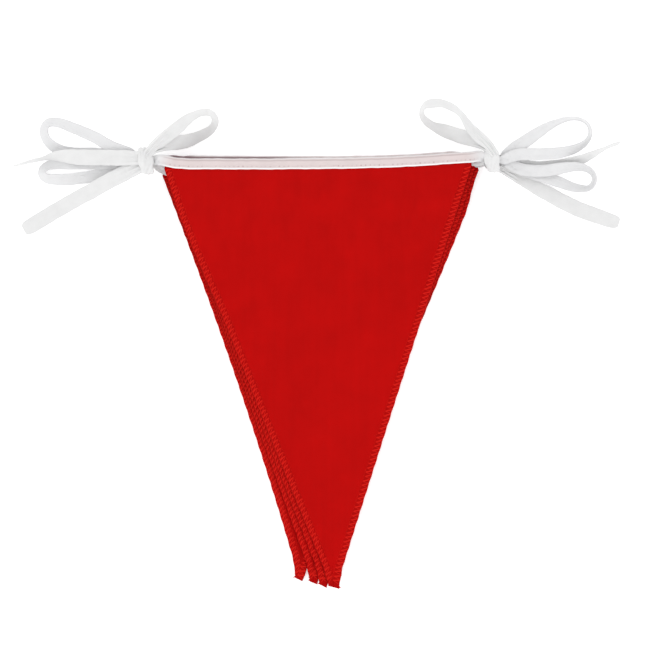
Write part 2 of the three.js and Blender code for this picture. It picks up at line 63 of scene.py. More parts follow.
# One row for each pennant, front first: its middle line's shifts, its widths and its tip, how
# its band lies, which is the lift of both ends, the dip of both corners and the hump near the
# left one, and how far its left edge spreads near the top
LAYER_COLUMNS = (
    "shift sway drift wider swell tip_half tip_y left right dip_left dip_right hump spread".split()
)
LAYER_ROWS = [
    (0.0, 0.0, 0.0, 0.0, 0.0, 3.4, -169.3, 0.0, 0.0, 0.0, 0.0, 0.0, 2.9),
    (1.0, -5.2, -2.3, 1.4, 1.5, 2.2, -168.7, 0.5, 0.3, 1.0, 2.2, 2.4, 0.0),
    (2.4, -9.0, -6.3, 2.6, 2.3, 2.3, -166.6, 1.9, 1.7, 3.4, 4.8, 0.0, 0.0),
    (-0.1, -4.1, -17.9, 3.0, 0.0, 2.2, -164.6, 1.0, 0.8, 7.4, 3.4, 0.0, 0.0),
    (0.5, -4.0, -9.5, 0.5, 0.0, 1.8, -165.0, 0.7, 0.5, 5.2, 2.4, 0.0, 0.0),
]
LAYERS = [dict(zip(LAYER_COLUMNS, row)) for row in LAYER_ROWS]
LAST = len(LAYERS) - 1

# A pennant's outline: half its top width, its middle at the top and at the tip, the bow of its
# middle line, how its sides draw in and how its raw tip slants
TOP_HALF, TOP_X, TIP_X = 99.6, -2.5, 6.8
BOW, DRIFT_BEND, DRAWN_IN, DRAWN_END, TIP_SLANT = 1.1, 2.2, 2.0, 0.05, 1.0
# Shares of the way down where the right edge swells and where the left edge spreads
SWELL_START, SWELL_FULL, SWELL_FADE, SWELL_END = 0.04, 0.13, 0.08, 0.55
SPREAD_TOP, SPREAD_FULL, SPREAD_END = 0.5, 0.14, 0.42
# The straight share at the top, the cut of its corners and its depth in the band
SQUARE_TOP, TOP_TUCK, IN_BAND = 0.02, 2.8, 5.4
# How far below the band the cloth leaves its level, lies on the pile, and gets its unevenness
DROP_START, DROP_END = 9, 62
FREE_START, FREE_END = 5, 30
# Where the band dips at its corners, and the hump beside the left one
DIP_START, DIP_FULL, DIP_END, DIP_LEFT_OVER = 85, 100, 106, 0.65
HUMP_AT, HUMP_WIDE = -93.0, 4.5
# The long ripple, the unevenness all over, and the edges' ripple up and down and in and out
RIPPLE_HIGH, RIPPLE_LONG, RIPPLE_LEAN = 1.2, 104, 0.24
UNEVEN_HIGH, UNEVEN_LONG, EDGE_REACH = 0.14, 46, 4
EDGE_HIGH, EDGE_LONG, EDGE_WAVER, EDGE_WAVER_LONG = 0.12, 6.7, 0.16, 9.1
# How the layers lie on each other: in the band, in the pile and in the knots
FOLD_PITCH, FOLD_HALF, PILE_PITCH, PILE_LOW, STRAND_PITCH = 3.9, 1.8, 1.4, 0.5, 2.2
BAND_WIDE, STRAND_MID_Z = 7.6, 9.6
# A pennant's own edge gets painted shade as the edge of one above does, at this many times its distance
OWN_EDGE = 2.0
# The chain along an overlocked edge: its steps, and how far from the edge it counts as for its
# painted shade
CHAIN_STEP, CHAIN_GAP = 1.4, 0.62

# The knots: where the strands go in and come out along x, their middle in y, the knee of the
# band, and how far off their middle the wrap sits along x
KNOTS = {
    "left": {"inner": -109.0, "outer": -117.0, "y": 104.2, "knee": -104.9, "shift": 0.0},
    "right": {"inner": 105.5, "outer": 113.5, "y": 104.6, "knee": 101.6, "shift": -1.4},
}

# Runs of tape: x, y, z, turn of the tape about its own run in degrees, width
RETURN_UPPER_LEFT = [
    (-124.5, 108.8, 11.4, 0, 7.6), (-134.7, 112.6, 10.4, 4, 7.6), (-147.5, 119.7, 8.8, 14, 7.6),
    (-160.3, 125.1, 6.8, 25, 7.6), (-169.9, 128.6, 5.0, 38, 7.6), (-176.4, 128.5, 4.2, 44, 7.6),
    (-179.2, 123.4, 3.9, 46, 7.6), (-177.0, 117.0, 4.1, 42, 7.6), (-170.9, 111.8, 5.0, 30, 7.6),
    (-161.6, 108.8, 6.2, 12, 7.6), (-148.8, 108.5, 7.4, 0, 7.6), (-134.7, 106.9, 8.6, 0, 7.6),
    (-124.5, 105.0, 9.3, 0, 7.6),
]
RETURN_LOWER_LEFT = [
    (-124.5, 103.4, 6.9, 0, 7.6), (-137.3, 102.5, 6.0, 0, 7.6), (-150.1, 102.2, 5.2, 4, 7.6),
    (-162.9, 102.1, 4.6, 16, 7.6), (-171.8, 101.8, 4.1, 32, 7.6), (-178.3, 100.0, 3.9, 44, 7.6),
    (-180.6, 96.2, 3.8, 48, 7.6), (-178.3, 92.9, 3.5, 42, 7.6), (-171.2, 91.8, 2.9, 28, 7.6),
    (-161.6, 92.2, 2.2, 12, 7.6), (-148.8, 93.9, 2.1, 0, 7.6), (-136.0, 97.4, 3.0, 0, 7.6),
    (-124.5, 101.1, 4.4, 0, 7.6),
]
RETURN_UPPER_RIGHT = [
    (123.8, 107.5, 13.0, 0, 7.6), (134.7, 108.1, 11.6, 4, 7.6), (147.5, 108.5, 9.4, 14, 7.6),
    (159.7, 111.0, 6.8, 42, 7.6), (168.4, 115.6, 5.0, 64, 7.6), (171.6, 122.0, 4.2, 72, 7.6),
    (168.6, 128.8, 4.2, 74, 7.6), (159.7, 131.2, 4.6, 72, 7.6), (149.4, 128.4, 5.8, 58, 7.6),
    (139.2, 122.8, 7.4, 30, 8.0), (129.4, 116.2, 9.4, 8, 8.4), (119.7, 109.8, 11.2, 0, 7.6),
]
RETURN_LOWER_RIGHT = [
    (124.5, 99.2, 8.4, 0, 7.6), (133.4, 97.6, 7.6, 0, 7.6), (142.4, 97.5, 7.0, 4, 7.6),
    (152.0, 99.2, 6.4, 16, 7.6), (161.8, 100.2, 5.6, 44, 7.6), (170.3, 98.2, 4.6, 62, 7.6),
    (174.3, 92.5, 3.9, 70, 7.6), (171.2, 86.7, 3.9, 64, 7.6), (162.9, 86.4, 3.9, 44, 7.6),
    (152.6, 89.6, 3.9, 20, 7.6), (142.4, 93.4, 4.1, 6, 7.6), (131.5, 96.6, 4.6, 0, 7.6),
    (121.3, 101.2, 6.2, 0, 7.6),
]
TIE_RUNS = {
    "left": {
        "loop": [
            (-113.2, 106.2, 17.8, 0, 5.6), (-108.9, 112.0, 19.2, 0, 6.0), (-103.6, 116.4, 18.0, -8, 8),
            (-95.0, 123.5, 12.4, -30, 10), (-86.1, 131.0, 8.4, -48, 10), (-78.2, 135.0, 6.2, -58, 10),
            (-72.2, 134.9, 5.6, -62, 10), (-69.0, 129.9, 5.4, -66, 10), (-71.7, 123.8, 5.5, -58, 10),
            (-79.7, 119.3, 6.6, -48, 10), (-88.6, 116.2, 9.6, -28, 10), (-97.6, 114.8, 13.6, -10, 9),
            (-104.6, 112.6, 16.6, 0, 7), (-109.0, 110.2, 17.8, 0, 5.6), (-113.6, 105.4, 16.6, 0, 5.6),
        ],
        "long": [
            (-111.0, 105.3, 16.4, 0, 8), (-119.4, 105.3, 16.2, 0, 9), (-127.0, 105.6, 14.8, 0, 10),
            (-137.3, 105.7, 13.0, 0, 10), (-147.5, 105.9, 11.4, 0, 10), (-157.1, 106.2, 10.2, -12, 10),
            (-165.4, 106.7, 9.3, -35, 10), (-171.8, 106.6, 8.3, -60, 10), (-179.5, 105.3, 7.0, -75, 10),
            (-188.5, 103.2, 6.0, -80, 10), (-198.4, 100.7, 5.0, -82, 8),
        ],
        "flat": [
            (-111.0, 103.4, 15.6, 0, 8), (-119.4, 99.2, 14.6, 0, 9), (-128.3, 95.0, 12.2, 0, 10),
            (-138.6, 89.9, 9.4, 0, 10), (-148.8, 84.2, 6.4, 0, 10), (-159.0, 78.7, 3.4, 0, 10),
            (-169.3, 73.0, 1.3, 0, 10), (-178.2, 67.8, 0.7, 0, 10), (-187.2, 62.4, 0.6, 0, 10),
            (-192.0, 59.6, 0.6, 0, 8.6),
        ],
    },
    "right": {
        "loop": [
            (110.4, 106.8, 17.8, 0, 5.6), (106.4, 112.4, 19.1, 0, 6), (101.2, 117.8, 17.8, 20, 8),
            (94.4, 124.8, 13.4, 48, 10), (88.3, 133.4, 9.6, 66, 10), (81.8, 138.8, 7.2, 60, 10),
            (75.2, 140.9, 6.0, 52, 10), (68.7, 140.8, 5.6, 54, 10), (63.6, 137.9, 5.5, 72, 10),
            (63.0, 132.6, 5.4, 72, 10), (68.2, 127.6, 5.4, 60, 10), (77.6, 123.2, 6.6, 38, 10),
            (86.7, 119.8, 9.8, 24, 10), (95.7, 117.0, 13.8, 10, 9), (102.3, 114.2, 16.6, 0, 7),
            (106.6, 110.6, 17.6, 0, 5.6), (111.0, 105.6, 16.6, 0, 5.6),
        ],
        "long": [
            (107.2, 103.4, 3.5, 0, 8), (114.9, 103.0, 3.4, 0, 9), (121.3, 101.4, 2.7, 0, 10),
            (131.5, 99.4, 2.2, 0, 10), (142.4, 98.9, 2.1, 4, 10), (152.0, 100.2, 2.7, 16, 10),
            (161.6, 103.2, 4.1, 40, 10), (171.2, 107.5, 5.1, 62, 10), (180.8, 111.7, 5.4, 76, 10),
            (190.4, 115.5, 4.8, 80, 8),
        ],
        "flat": [
            (109.5, 101.4, 3.5, 0, 5.6), (114.6, 99.0, 3.0, 0, 6), (121.0, 95.6, 1.5, 0, 6.5),
            (129.4, 90.8, 0.8, 0, 7.6), (142.4, 83.8, 0.6, 0, 9.6), (156.5, 76.5, 0.6, 0, 10),
            (170.3, 70.4, 0.6, 0, 10), (184.0, 65.9, 0.6, 0, 9.4), (190.0, 64.2, 0.6, 0, 7.6),
        ],
    },
}

# The pennants' pieces and their edges' pieces, from the top of the pile down
CLOTH_NAMES = [f"cloth_{i + 1}" for i in range(len(LAYERS))]
EDGING_NAMES = [f"overlock_{i + 1}" for i in range(len(LAYERS))]

# Steps of the surfaces
CLOTH_FINE, CLOTH_COARSE = (72, 132), (44, 84)
EDGE_FINER = 2.1
RUN_STEP = 1.1
SMOOTH_SPAN = 4.0


def linear(hex_colour):
    """The linear colour of an sRGB hex value: a channel c is c / 12.92 up to 0.04045, and
    ((c + 0.055) / 1.055) to the power 2.4 above it."""
    c = np.array([int(hex_colour[i : i + 2], 16) for i in (0, 2, 4)]) / 255
    return tuple(np.where(c <= 0.04045, c / 12.92, ((c + 0.055) / 1.055) ** 2.4).tolist())


def colour(name, description, hex_colour):
    """A colour setting, from an sRGB hex value."""
    return FloatVectorProperty(
        name=name, description=description, default=linear(hex_colour), subtype="COLOR", min=0, max=1
    )


def length(name, description, millimetres):
    """A length setting, given in millimetres and held in metres."""
    return FloatProperty(
        name=name, description=description, default=millimetres * MM, unit="LENGTH", min=0, precision=5
    )


class ClothSettings(bpy.types.PropertyGroup):
    red: colour("Cloth", "Colour of the dyed polyester", "BA0908")
    deep_red: colour("Deep red", "Its colour where less light comes back out of it", "AE0807")
    thickness: length("Thickness", "Thickness of the cloth", 0.28)
    weave: length("Weave", "Spacing of the drawn weave", 0.55)


class OverlockSettings(bpy.types.PropertyGroup):
    thread: colour("Thread", "Colour of the overlock thread", "CE1C15")
    pitch: length("Pitch", "From one stitch to the next", 2.95)
    depth: length("Depth", "From the cut edge to the needle line", 4.7)
    width: length("Width", "Width of a lying thread", 0.54)


class BandSettings(bpy.types.PropertyGroup):
    white: colour("Tape", "Colour of the white tape", "E1E1E2")
    pink: colour("Over red", "Its colour where red cloth lies inside the fold", "DBCECD")
    ply: length("Ply", "Thickness of one ply of the tape", 0.28)
    stitch: length("Stitch", "Length of a stitch of the seam", 2.9)


class TieSettings(bpy.types.PropertyGroup):
    white: colour("Tie", "Colour of the tie tapes", "E2E2E2")
    thickness: length("Thickness", "Thickness of a tie", 0.45)


class StageSettings(bpy.types.PropertyGroup):
    floor: colour("Floor", "Colour of the floor", "FCFCFC")
    glow: FloatProperty(
        name="Glow", description="How brightly the floor is lit from below", default=0.34, min=0
    )
    camera_height: length("Camera height", "Height of the camera over the surface", 4000)
    picture_width: length("Picture width", "Width of the surface in the picture", 412.8)


# Curves and surfaces


def smoothstep(x, low, high):
    """0 below low, 1 above high, and 3 t squared less 2 t cubed between them."""
    t = np.clip((x - low) / (high - low), 0, 1)
    return t * t * (3 - 2 * t)


def mixed(a, b, t):
    """Evenly from a, at t = 0, to b, at t = 1."""
    return a + (b - a) * t


def curve_through(xs, ys, x):
    """A cubic on each span that meets the points, with the slope of the chord between a
    point's neighbours as the slope there, and a straight line past the ends."""
    i = np.arange(len(xs))
    before, after = np.maximum(i - 1, 0), np.minimum(i + 1, len(xs) - 1)
    slopes = (ys[after] - ys[before]) / (xs[after] - xs[before])
    i = np.clip(np.searchsorted(xs, x) - 1, 0, len(xs) - 2)
    span, rise = xs[i + 1] - xs[i], ys[i + 1] - ys[i]
    start, end = slopes[i] * span, slopes[i + 1] * span
    t = np.clip((x - xs[i]) / span, 0, 1)
    past = (x - xs[i]) / span - t
    bend = start + end - 2 * rise
    y = ys[i] + t * (start + t * (rise - start - bend + t * bend))
    return y + past * np.where(past < 0, start, end)


def uneven(x, y, longest, seed, waves=6):
    """Gentle unevenness, mostly within -1 to 1: plane waves in random directions, each shorter
    than the last by a fifth, added and divided by the square root of their number."""
    chance = np.random.default_rng(seed)
    total = 0.0
    for k in range(waves):
        angle, phase = chance.uniform(0, 2 * np.pi, 2)
        wave = 2 * np.pi * (x * np.cos(angle) + y * np.sin(angle)) / (longest * 0.8**k)
        total = total + np.sin(wave + phase)
    return total / np.sqrt(waves)


def front_line(x):
    """The front band's middle line, as y over x."""
    return curve_through(BAND_X, BAND_Y, x)


def band_line(layer, x):
    """The front band's line, lifted evenly from end to end and let down at its corners, from
    where it rises again a little towards the knot, with a bell-shaped hump."""
    across = (x + TOP_HALF) / (2 * TOP_HALF)
    dip = np.where(x < 0, layer["dip_left"], layer["dip_right"])
    lift = mixed(layer["left"], layer["right"], across)
    size = np.abs(x)
    share = smoothstep(size, DIP_START, DIP_FULL)
    share = share - (1 - DIP_LEFT_OVER) * smoothstep(size, DIP_FULL, DIP_END)
    hump = layer["hump"] * np.exp(-(((x - HUMP_AT) / HUMP_WIDE) ** 2))
    return front_line(x) + lift - dip * share + hump


def fold_height(index):
    """The height of a pennant's top edge inside the band."""
    return (LAST - index) * FOLD_PITCH + FOLD_HALF


def strand_height(index):
    """The height of a pass's strand inside a knot."""
    return STRAND_MID_Z + (LAST / 2 - index) * STRAND_PITCH


def knot_x(knot):
    """The middle of a knot's strands along x."""
    return (knot["inner"] + knot["outer"]) / 2


def middle_line(layer, t):
    """A pennant's middle line, as x over t: straight less a parabola's bow, then moved by the
    pennant's own shift, by its sway times t and by its drift times t to the power 2.2."""
    bowed = mixed(TOP_X, TIP_X, t) - BOW * 4 * t * (1 - t)
    return bowed + layer["shift"] + layer["sway"] * t + layer["drift"] * t**DRIFT_BEND


def half_width(layer, t):
    """Half a pennant's width: straight from the top to the tip, less t squared times what it is
    drawn in by, which is let out again over the last twentieth."""
    drawn = DRAWN_IN * t * t * np.minimum(1, (1 - t) / DRAWN_END)
    return mixed(TOP_HALF + layer["wider"], layer["tip_half"], t) - drawn


def cloth_surface(index, u, t):
    """A pennant's middle surface, u from -1 to 1 across it and t from 0 to 1 down it: straight
    slanted edges about a bowed middle line, each swelling out by u squared below the band. Its
    corners are cut off in the band. It lies level there, then goes down on to the pile, with a
    long ripple on the upper layers, a slight unevenness, and a finer ripple along the edges,
    which falls off as e to the power of minus the distance from the edge over 4 mm."""
    layer = LAYERS[index]
    square = middle_line(layer, SQUARE_TOP) + u * half_width(layer, SQUARE_TOP)
    top_y = band_line(layer, square) - BAND_WIDE / 2 + IN_BAND
    part = np.maximum(t, SQUARE_TOP)
    half = half_width(layer, part) - TOP_TUCK * (1 - np.minimum(t / SQUARE_TOP, 1))
    swell = smoothstep(t, SWELL_START, SWELL_FULL) * (1 - smoothstep(t, SWELL_FADE, SWELL_END))
    spread = mixed(SPREAD_TOP, 1, smoothstep(t, 0, SPREAD_FULL))
    spread = spread * (1 - smoothstep(t, SPREAD_FULL, SPREAD_END))
    x = middle_line(layer, part) + u * half
    x = x + layer["swell"] * np.maximum(u, 0) ** 2 * swell
    x = x - layer["spread"] * np.minimum(u, 0) ** 2 * spread
    y = mixed(top_y, layer["tip_y"] - u * TIP_SLANT, t)
    below = front_line(x) - y
    fallen = smoothstep(below, DROP_START, DROP_END)
    wave = np.sin(2 * np.pi * (x + RIPPLE_LEAN * y) / RIPPLE_LONG)
    pile = (LAST - index) * PILE_PITCH + PILE_LOW
    pile = pile + (LAST - index) / LAST * RIPPLE_HIGH * (1 + wave) / 2
    z = mixed(fold_height(index), pile, fallen)
    free = smoothstep(below, FREE_START, FREE_END)
    edge = np.exp(-np.maximum(1 - np.abs(u), 0) * half / EDGE_REACH) * np.sign(u)
    z = z + free * UNEVEN_HIGH * uneven(x, y, UNEVEN_LONG, index)
    z = z + free * EDGE_HIGH * edge * np.sin(2 * np.pi * y / EDGE_LONG + index)
    x = x + free * EDGE_WAVER * edge * np.sin(2 * np.pi * y / EDGE_WAVER_LONG + 2 * index)
    return np.stack(np.broadcast_arrays(x, y, z), -1)


def shade_gap(index, places):
    """For points on a pennant, how far they lie, in the plan, from an edge whose shade is painted on
    them: its own edge, counted twice as far, or the edge of a pennant above."""
    x, y = places[..., 0], places[..., 1]
    nearest = np.full(x.shape, np.inf)
    for other in range(index + 1):
        beyond = []
        for side in (-1, 1):
            top, tip = (cloth_surface(other, side, end)[1] for end in (0.0, 1.0))
            edge = cloth_surface(other, side, np.clip((y - top) / (tip - top), 0, 1))[..., 0]
            beyond.append(side * (x - edge))
        beyond = np.maximum(*beyond)
        gap = -beyond * OWN_EDGE if other == index else beyond
        nearest = np.minimum(nearest, np.maximum(gap, 0))
    return nearest


def unit(vectors):
    """The vectors, each brought to the length 1."""
    return vectors / np.linalg.norm(vectors, axis=-1, keepdims=True)


def cloth_normal(index, u, t):
    """The unit vector square to the cloth, from differences along u and t."""
    near = 1e-3
    across = cloth_surface(index, u + near, t) - cloth_surface(index, u - near, t)
    down = cloth_surface(index, u, t + near) - cloth_surface(index, u, t - near)
    return unit(np.cross(down, across))


def smooth_run(rows, parts=8):
    """A centripetal Catmull-Rom curve through the rows' first three columns, with the other
    columns in even steps from row to row: on each span a cubic whose end slopes weigh the
    chords by the square roots of their lengths."""
    rows = np.asarray(rows, float)
    p = rows[:, :3]
    p = np.vstack([2 * p[0] - p[1], p, 2 * p[-1] - p[-2]])
    gap = np.sqrt(np.linalg.norm(np.diff(p, axis=0), axis=1))[:, None]
    a, b, c = gap[:-2], gap[1:-1], gap[2:]
    p0, p1, p2, p3 = p[:-3], p[1:-2], p[2:-1], p[3:]
    start = ((p1 - p0) / a - (p2 - p0) / (a + b) + (p2 - p1) / b) * b
    end = ((p2 - p1) / b - (p3 - p1) / (b + c) + (p3 - p2) / c) * b
    t = (np.arange(parts) / parts)[None, :, None]
    p1, p2, start, end = p1[:, None], p2[:, None], start[:, None], end[:, None]
    bend = start + end - 2 * (p2 - p1)
    places = p1 + t * (start + t * (p2 - p1 - start - bend + t * bend))
    places = np.vstack([places.reshape(-1, 3), rows[-1:, :3]])
    at = np.append(np.arange(len(rows) - 1)[:, None] + t[0, :, 0], len(rows) - 1)
    others = [np.interp(at, np.arange(len(rows)), column) for column in rows[:, 3:].T]
    return np.column_stack([places, *others])


def lengths_of(line):
    """How far along the line each of its points lies."""
    steps = np.linalg.norm(np.diff(line[:, :3], axis=0), axis=1)
    return np.concatenate([[0], np.cumsum(steps)])


def even_run(rows, step=RUN_STEP, span=SMOOTH_SPAN):
    """The run in equal steps, each column then a running mean over span millimetres. The ends
    are turned over, point for point, so that the mean leaves them in place."""
    at = lengths_of(rows)
    places = np.linspace(0, at[-1], max(8, round(at[-1] / step)))
    even = np.column_stack([np.interp(places, at, column) for column in rows.T])
    window = 2 * round(span / step / 2) + 1
    wide = np.pad(even, ((window // 2,) * 2, (0, 0)), mode="reflect", reflect_type="odd")
    kernel = np.ones(window) / window
    return np.column_stack([np.convolve(column, kernel, "valid") for column in wide.T])


def turned_frame(line, degrees):
    """Across and out of a tape along its line: level and square to the run, then turned about
    the run by the angle."""
    run = unit(np.gradient(line, axis=0))
    side = unit(np.cross(UP, run))
    rise = np.cross(run, side)
    angle = np.radians(degrees)[:, None]
    across = side * np.cos(angle) + rise * np.sin(angle)
    return across, np.cross(run, across)


def swept(line, across, face, a, b):
    """Rings about a line: each point of a ring is a along across and b out of the face."""
    return line[:, None] + a[..., None] * across[:, None] + b[..., None] * face[:, None]


def tube_faces(rows, ring, joined=False):
    """Quads of a closed skin over rows of rings. Its ends are filled by strips from one half of
    the ring to the other, or the last row joins the first."""
    i, j = np.arange(rows if joined else rows - 1)[:, None], np.arange(ring)[None, :]
    k, above = (j + 1) % ring, (i + 1) % rows
    here, there = i * ring, above * ring
    sides = np.stack([here + j, here + k, there + k, there + j], -1).reshape(-1, 4)
    if joined:
        return sides
    j = np.arange(ring // 2 - 1)
    low = np.stack([j, ring - 1 - j, ring - 2 - j, j + 1], -1)
    return np.concatenate([sides, low, low[:, ::-1] + (rows - 1) * ring])


def many(faces, points_each, count):
    """The faces of one small piece, again for each of its copies."""
    return (faces[None] + points_each * np.arange(count)[:, None, None]).reshape(-1, 4)


def two_faced(middle, normal, thickness):
    """Rings of a thin sheet: its lower face from side to side, then its upper face back."""
    half = thickness / MM / 2 * normal
    return np.concatenate([middle - half, (middle + half)[:, ::-1]], axis=1)


class Skin:
    """Gathers rings, faces and point values in millimetres until they become one mesh."""

    def __init__(self):
        self.places, self.faces, self.marks, self.count = [], [], {}, 0

    def add(self, places, faces, **marks):
        """Adds points and faces, and one value for each point under each mark's name."""
        places = places.reshape(-1, 3)
        self.places.append(places)
        self.faces.append(faces + self.count)
        self.count += len(places)
        for name, values in marks.items():
            self.marks.setdefault(name, []).append(np.asarray(values, float).reshape(-1))

    def finish(self, name, material, sharp=50):
        """Makes the piece. Its edges of more degrees than sharp are drawn sharp."""
        places = (np.concatenate(self.places) + ORIGIN) * MM
        mesh = bpy.data.meshes.new(name)
        mesh.from_pydata(places, [], np.concatenate(self.faces))
        for mark, values in self.marks.items():
            held = mesh.attributes.new(mark, "FLOAT", "POINT")
            held.data.foreach_set("value", np.concatenate(values).astype(np.float32))
        mesh.shade_smooth()
        mesh.set_sharp_from_angle(angle=math.radians(sharp))
        mesh.materials.append(material)
        piece = bpy.data.objects.new(name, mesh)
        bpy.context.collection.objects.link(piece)
        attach(piece, "root")
        return piece


# Materials


# A Mix node's colour sockets share their names with its number sockets, so they are reached by
# their places: 0 is the share, 6 and 7 are the two colours, and output 2 is the result
MIX, MULTIPLY = ({"data_type": "RGBA", "blend_type": blend} for blend in ("MIX", "MULTIPLY"))
SMOOTH = {"interpolation_type": "SMOOTHSTEP"}
# Sizes of the patterns in millimetres: the noise's clouds and streaks, which are drawn out along
# the warp, the fuzz of the threads, and the ribs of the tape
CLOUD, STREAK, DRAWN_OUT, TAPE_CLOUD = 18.2, 4.17, 0.06, 7.7
OVERLOCK_FUZZ, SEWING_FUZZ, TAPE_RIB = 0.385, 0.333, 0.6
# The painted shade beside an edge: its dark line and the strip under the overlock threads, as
# distances in millimetres, and how dark the line and the strip are painted
EDGE_LINE, EDGE_STRIP, LINE_SHADE_STRENGTH, STRIP_SHADE_STRENGTH = (0.1, 0.8), (8.4, 9.6), 0.74, 0.24
# Colours of the painted shade at an edge, round a needle hole and in the gap above the band, and the white
# of the tape's woven edge and of its painted light
EDGE_SHADE_RED, HOLE_SHADE_GREY, EDGE_AND_PAINTED_LIGHT_WHITE, GAP_SHADE_GREY = "760101", "B08F92", "F8F8F8", "6E4E54"
# How far round a needle hole the tape is painted dark, as painted shade in the hole, and how dark
HOLE_NEAR, HOLE_FAR, HOLE_SHADE_STRENGTH = 0.25, 0.8, 0.7
# Point values that a tape's material reads
STRIP_MARKS = ("run", "cut")
BAND_MARKS = (*STRIP_MARKS, "backed", "hole", "woven_edge_and_painted_light", "deep")


def node(tree, kind, fields=None, inputs=None):
    """Adds a node, sets its fields, and gives its inputs their values or links."""
    made = tree.nodes.new(kind)
    for field, value in (fields or {}).items():
        setattr(made, field, value)
    for name, value in (inputs or {}).items():
        if isinstance(value, bpy.types.NodeSocket):
            tree.links.new(value, made.inputs[name])
        else:
            made.inputs[name].default_value = value
    return made


def new_material(name):
    """A material, its node tree and its Principled shader."""
    material = bpy.data.materials.new(name)
    material.use_nodes = True
    tree = material.node_tree
    return material, tree, tree.nodes["Principled BSDF"]


def rgba(rgb):
    """The colour as the nodes take it, opaque."""
    return (*rgb, 1.0)


def per_metre(size):
    """The Noise texture's scale for clouds of a size in millimetres."""
    return 1 / (size * MM)


def bands_per(pitch):
    """The Wave texture's scale for one band every pitch: it draws 20 / (2 pi) bands a unit."""
    return 2 * math.pi / (20 * pitch)


def link_normal(tree, shader, *layers):
    """Bump on bump: each layer is a height and how far its full height stands, in metres."""
    normal = None
    for height, distance in layers:
        inputs = {"Height": height, "Distance": distance, "Strength": 1.0}
        if normal:
            inputs["Normal"] = normal
        normal = node(tree, "ShaderNodeBump", None, inputs).outputs["Normal"]
    tree.links.new(normal, shader.inputs["Normal"])


def plain_weave(tree, coords, pitch):
    """Height of a plain weave: two sets of threads square to each other, added."""
    sets = [
        node(
            tree,
            "ShaderNodeTexWave",
            {"bands_direction": direction},
            {"Vector": coords, "Scale": bands_per(pitch), "Distortion": 0.6, "Detail": 1.0},
        ).outputs["Fac"]
        for direction in "XY"
    ]
    return node(tree, "ShaderNodeMath", {"operation": "ADD"}, {0: sets[0], 1: sets[1]}).outputs[0]


def painted_edge_shade(tree, red, strip_shade=0.0):
    """Painted shade: darkens the red beside an edge, where light is caught between two layers of
    cloth, most in a thin line at the edge, and less in the strip under the overlock threads, for
    the shade between them."""
    gap = node(tree, "ShaderNodeAttribute", {"attribute_name": "gap"}).outputs["Fac"]
    shares = [
        node(
            tree,
            "ShaderNodeMapRange",
            SMOOTH,
            {"Value": gap, "From Min": low, "From Max": high, "To Min": dark, "To Max": far},
        ).outputs[0]
        for (low, high), dark, far in ((EDGE_LINE, LINE_SHADE_STRENGTH, strip_shade), (EDGE_STRIP, 1.0, 0.0))
    ]
    both = node(tree, "ShaderNodeMath", {"operation": "MULTIPLY"}, {0: shares[0], 1: shares[1]})
    inputs = {0: both.outputs[0], 6: red, 7: rgba(linear(EDGE_SHADE_RED))}
    return node(tree, "ShaderNodeMix", MIX, inputs).outputs[2]


def woven_polyester(cloth):
    """Piece-dyed polyester, plain woven: matt, even red with a faint cloudiness and streaks
    down the warp. The real threads are about 0.25 mm apart; the weave is drawn at twice that,
    so that it shows at all."""
    material, tree, shader = new_material("dyed woven polyester")
    coords = node(tree, "ShaderNodeTexCoord").outputs["Object"]
    clouds = node(
        tree, "ShaderNodeTexNoise", None, {"Vector": coords, "Scale": per_metre(CLOUD), "Detail": 4.0}
    ).outputs["Fac"]
    warp = node(tree, "ShaderNodeMapping", None, {"Vector": coords, "Scale": (1.0, DRAWN_OUT, 1.0)})
    streaks = node(
        tree,
        "ShaderNodeTexNoise",
        None,
        {"Vector": warp.outputs[0], "Scale": per_metre(STREAK), "Detail": 3.0},
    ).outputs["Fac"]
    both = node(tree, "ShaderNodeMath", {"operation": "MULTIPLY_ADD"}, {0: streaks, 1: 0.45, 2: clouds})
    share = node(
        tree, "ShaderNodeMapRange", None, {"Value": both.outputs[0], "From Min": 0.45, "From Max": 1.0}
    )
    inputs = {0: share.outputs[0], 6: rgba(cloth.deep_red), 7: rgba(cloth.red)}
    tint = node(tree, "ShaderNodeMix", MIX, inputs).outputs[2]
    # The red is painted darker beside the edges, as painted shade between layers of cloth
    tree.links.new(painted_edge_shade(tree, tint, STRIP_SHADE_STRENGTH), shader.inputs["Base Color"])
    shader.inputs["Roughness"].default_value = 0.9
    shader.inputs["Specular IOR Level"].default_value = 0.05
    weave = plain_weave(tree, coords, cloth.weave)
    link_normal(tree, shader, (clouds, 0.4 * MM), (weave, 0.06 * MM))
    return material


def overlock_thread(overlock):
    """Textured polyester thread: fuzzy and brighter than the cloth, because its filaments scatter
    the light, and painted lighter still for standing proud of it, as painted light. Beside an edge it takes
    the painted shade too."""
    material, tree, shader = new_material("textured polyester thread")
    tree.links.new(painted_edge_shade(tree, rgba(overlock.thread)), shader.inputs["Base Color"])
    shader.inputs["Roughness"].default_value = 0.85
    shader.inputs["Specular IOR Level"].default_value = 0.05
    link_normal(tree, shader, (thread_fuzz(tree, OVERLOCK_FUZZ), 0.12 * MM))
    return material


def thread_fuzz(tree, size):
    """Height of a thread's stray fibres: fine noise that goes round it."""
    coords = node(tree, "ShaderNodeTexCoord").outputs["Object"]
    inputs = {"Vector": coords, "Scale": per_metre(size), "Detail": 2.0}
    return node(tree, "ShaderNodeTexNoise", None, inputs).outputs["Fac"]


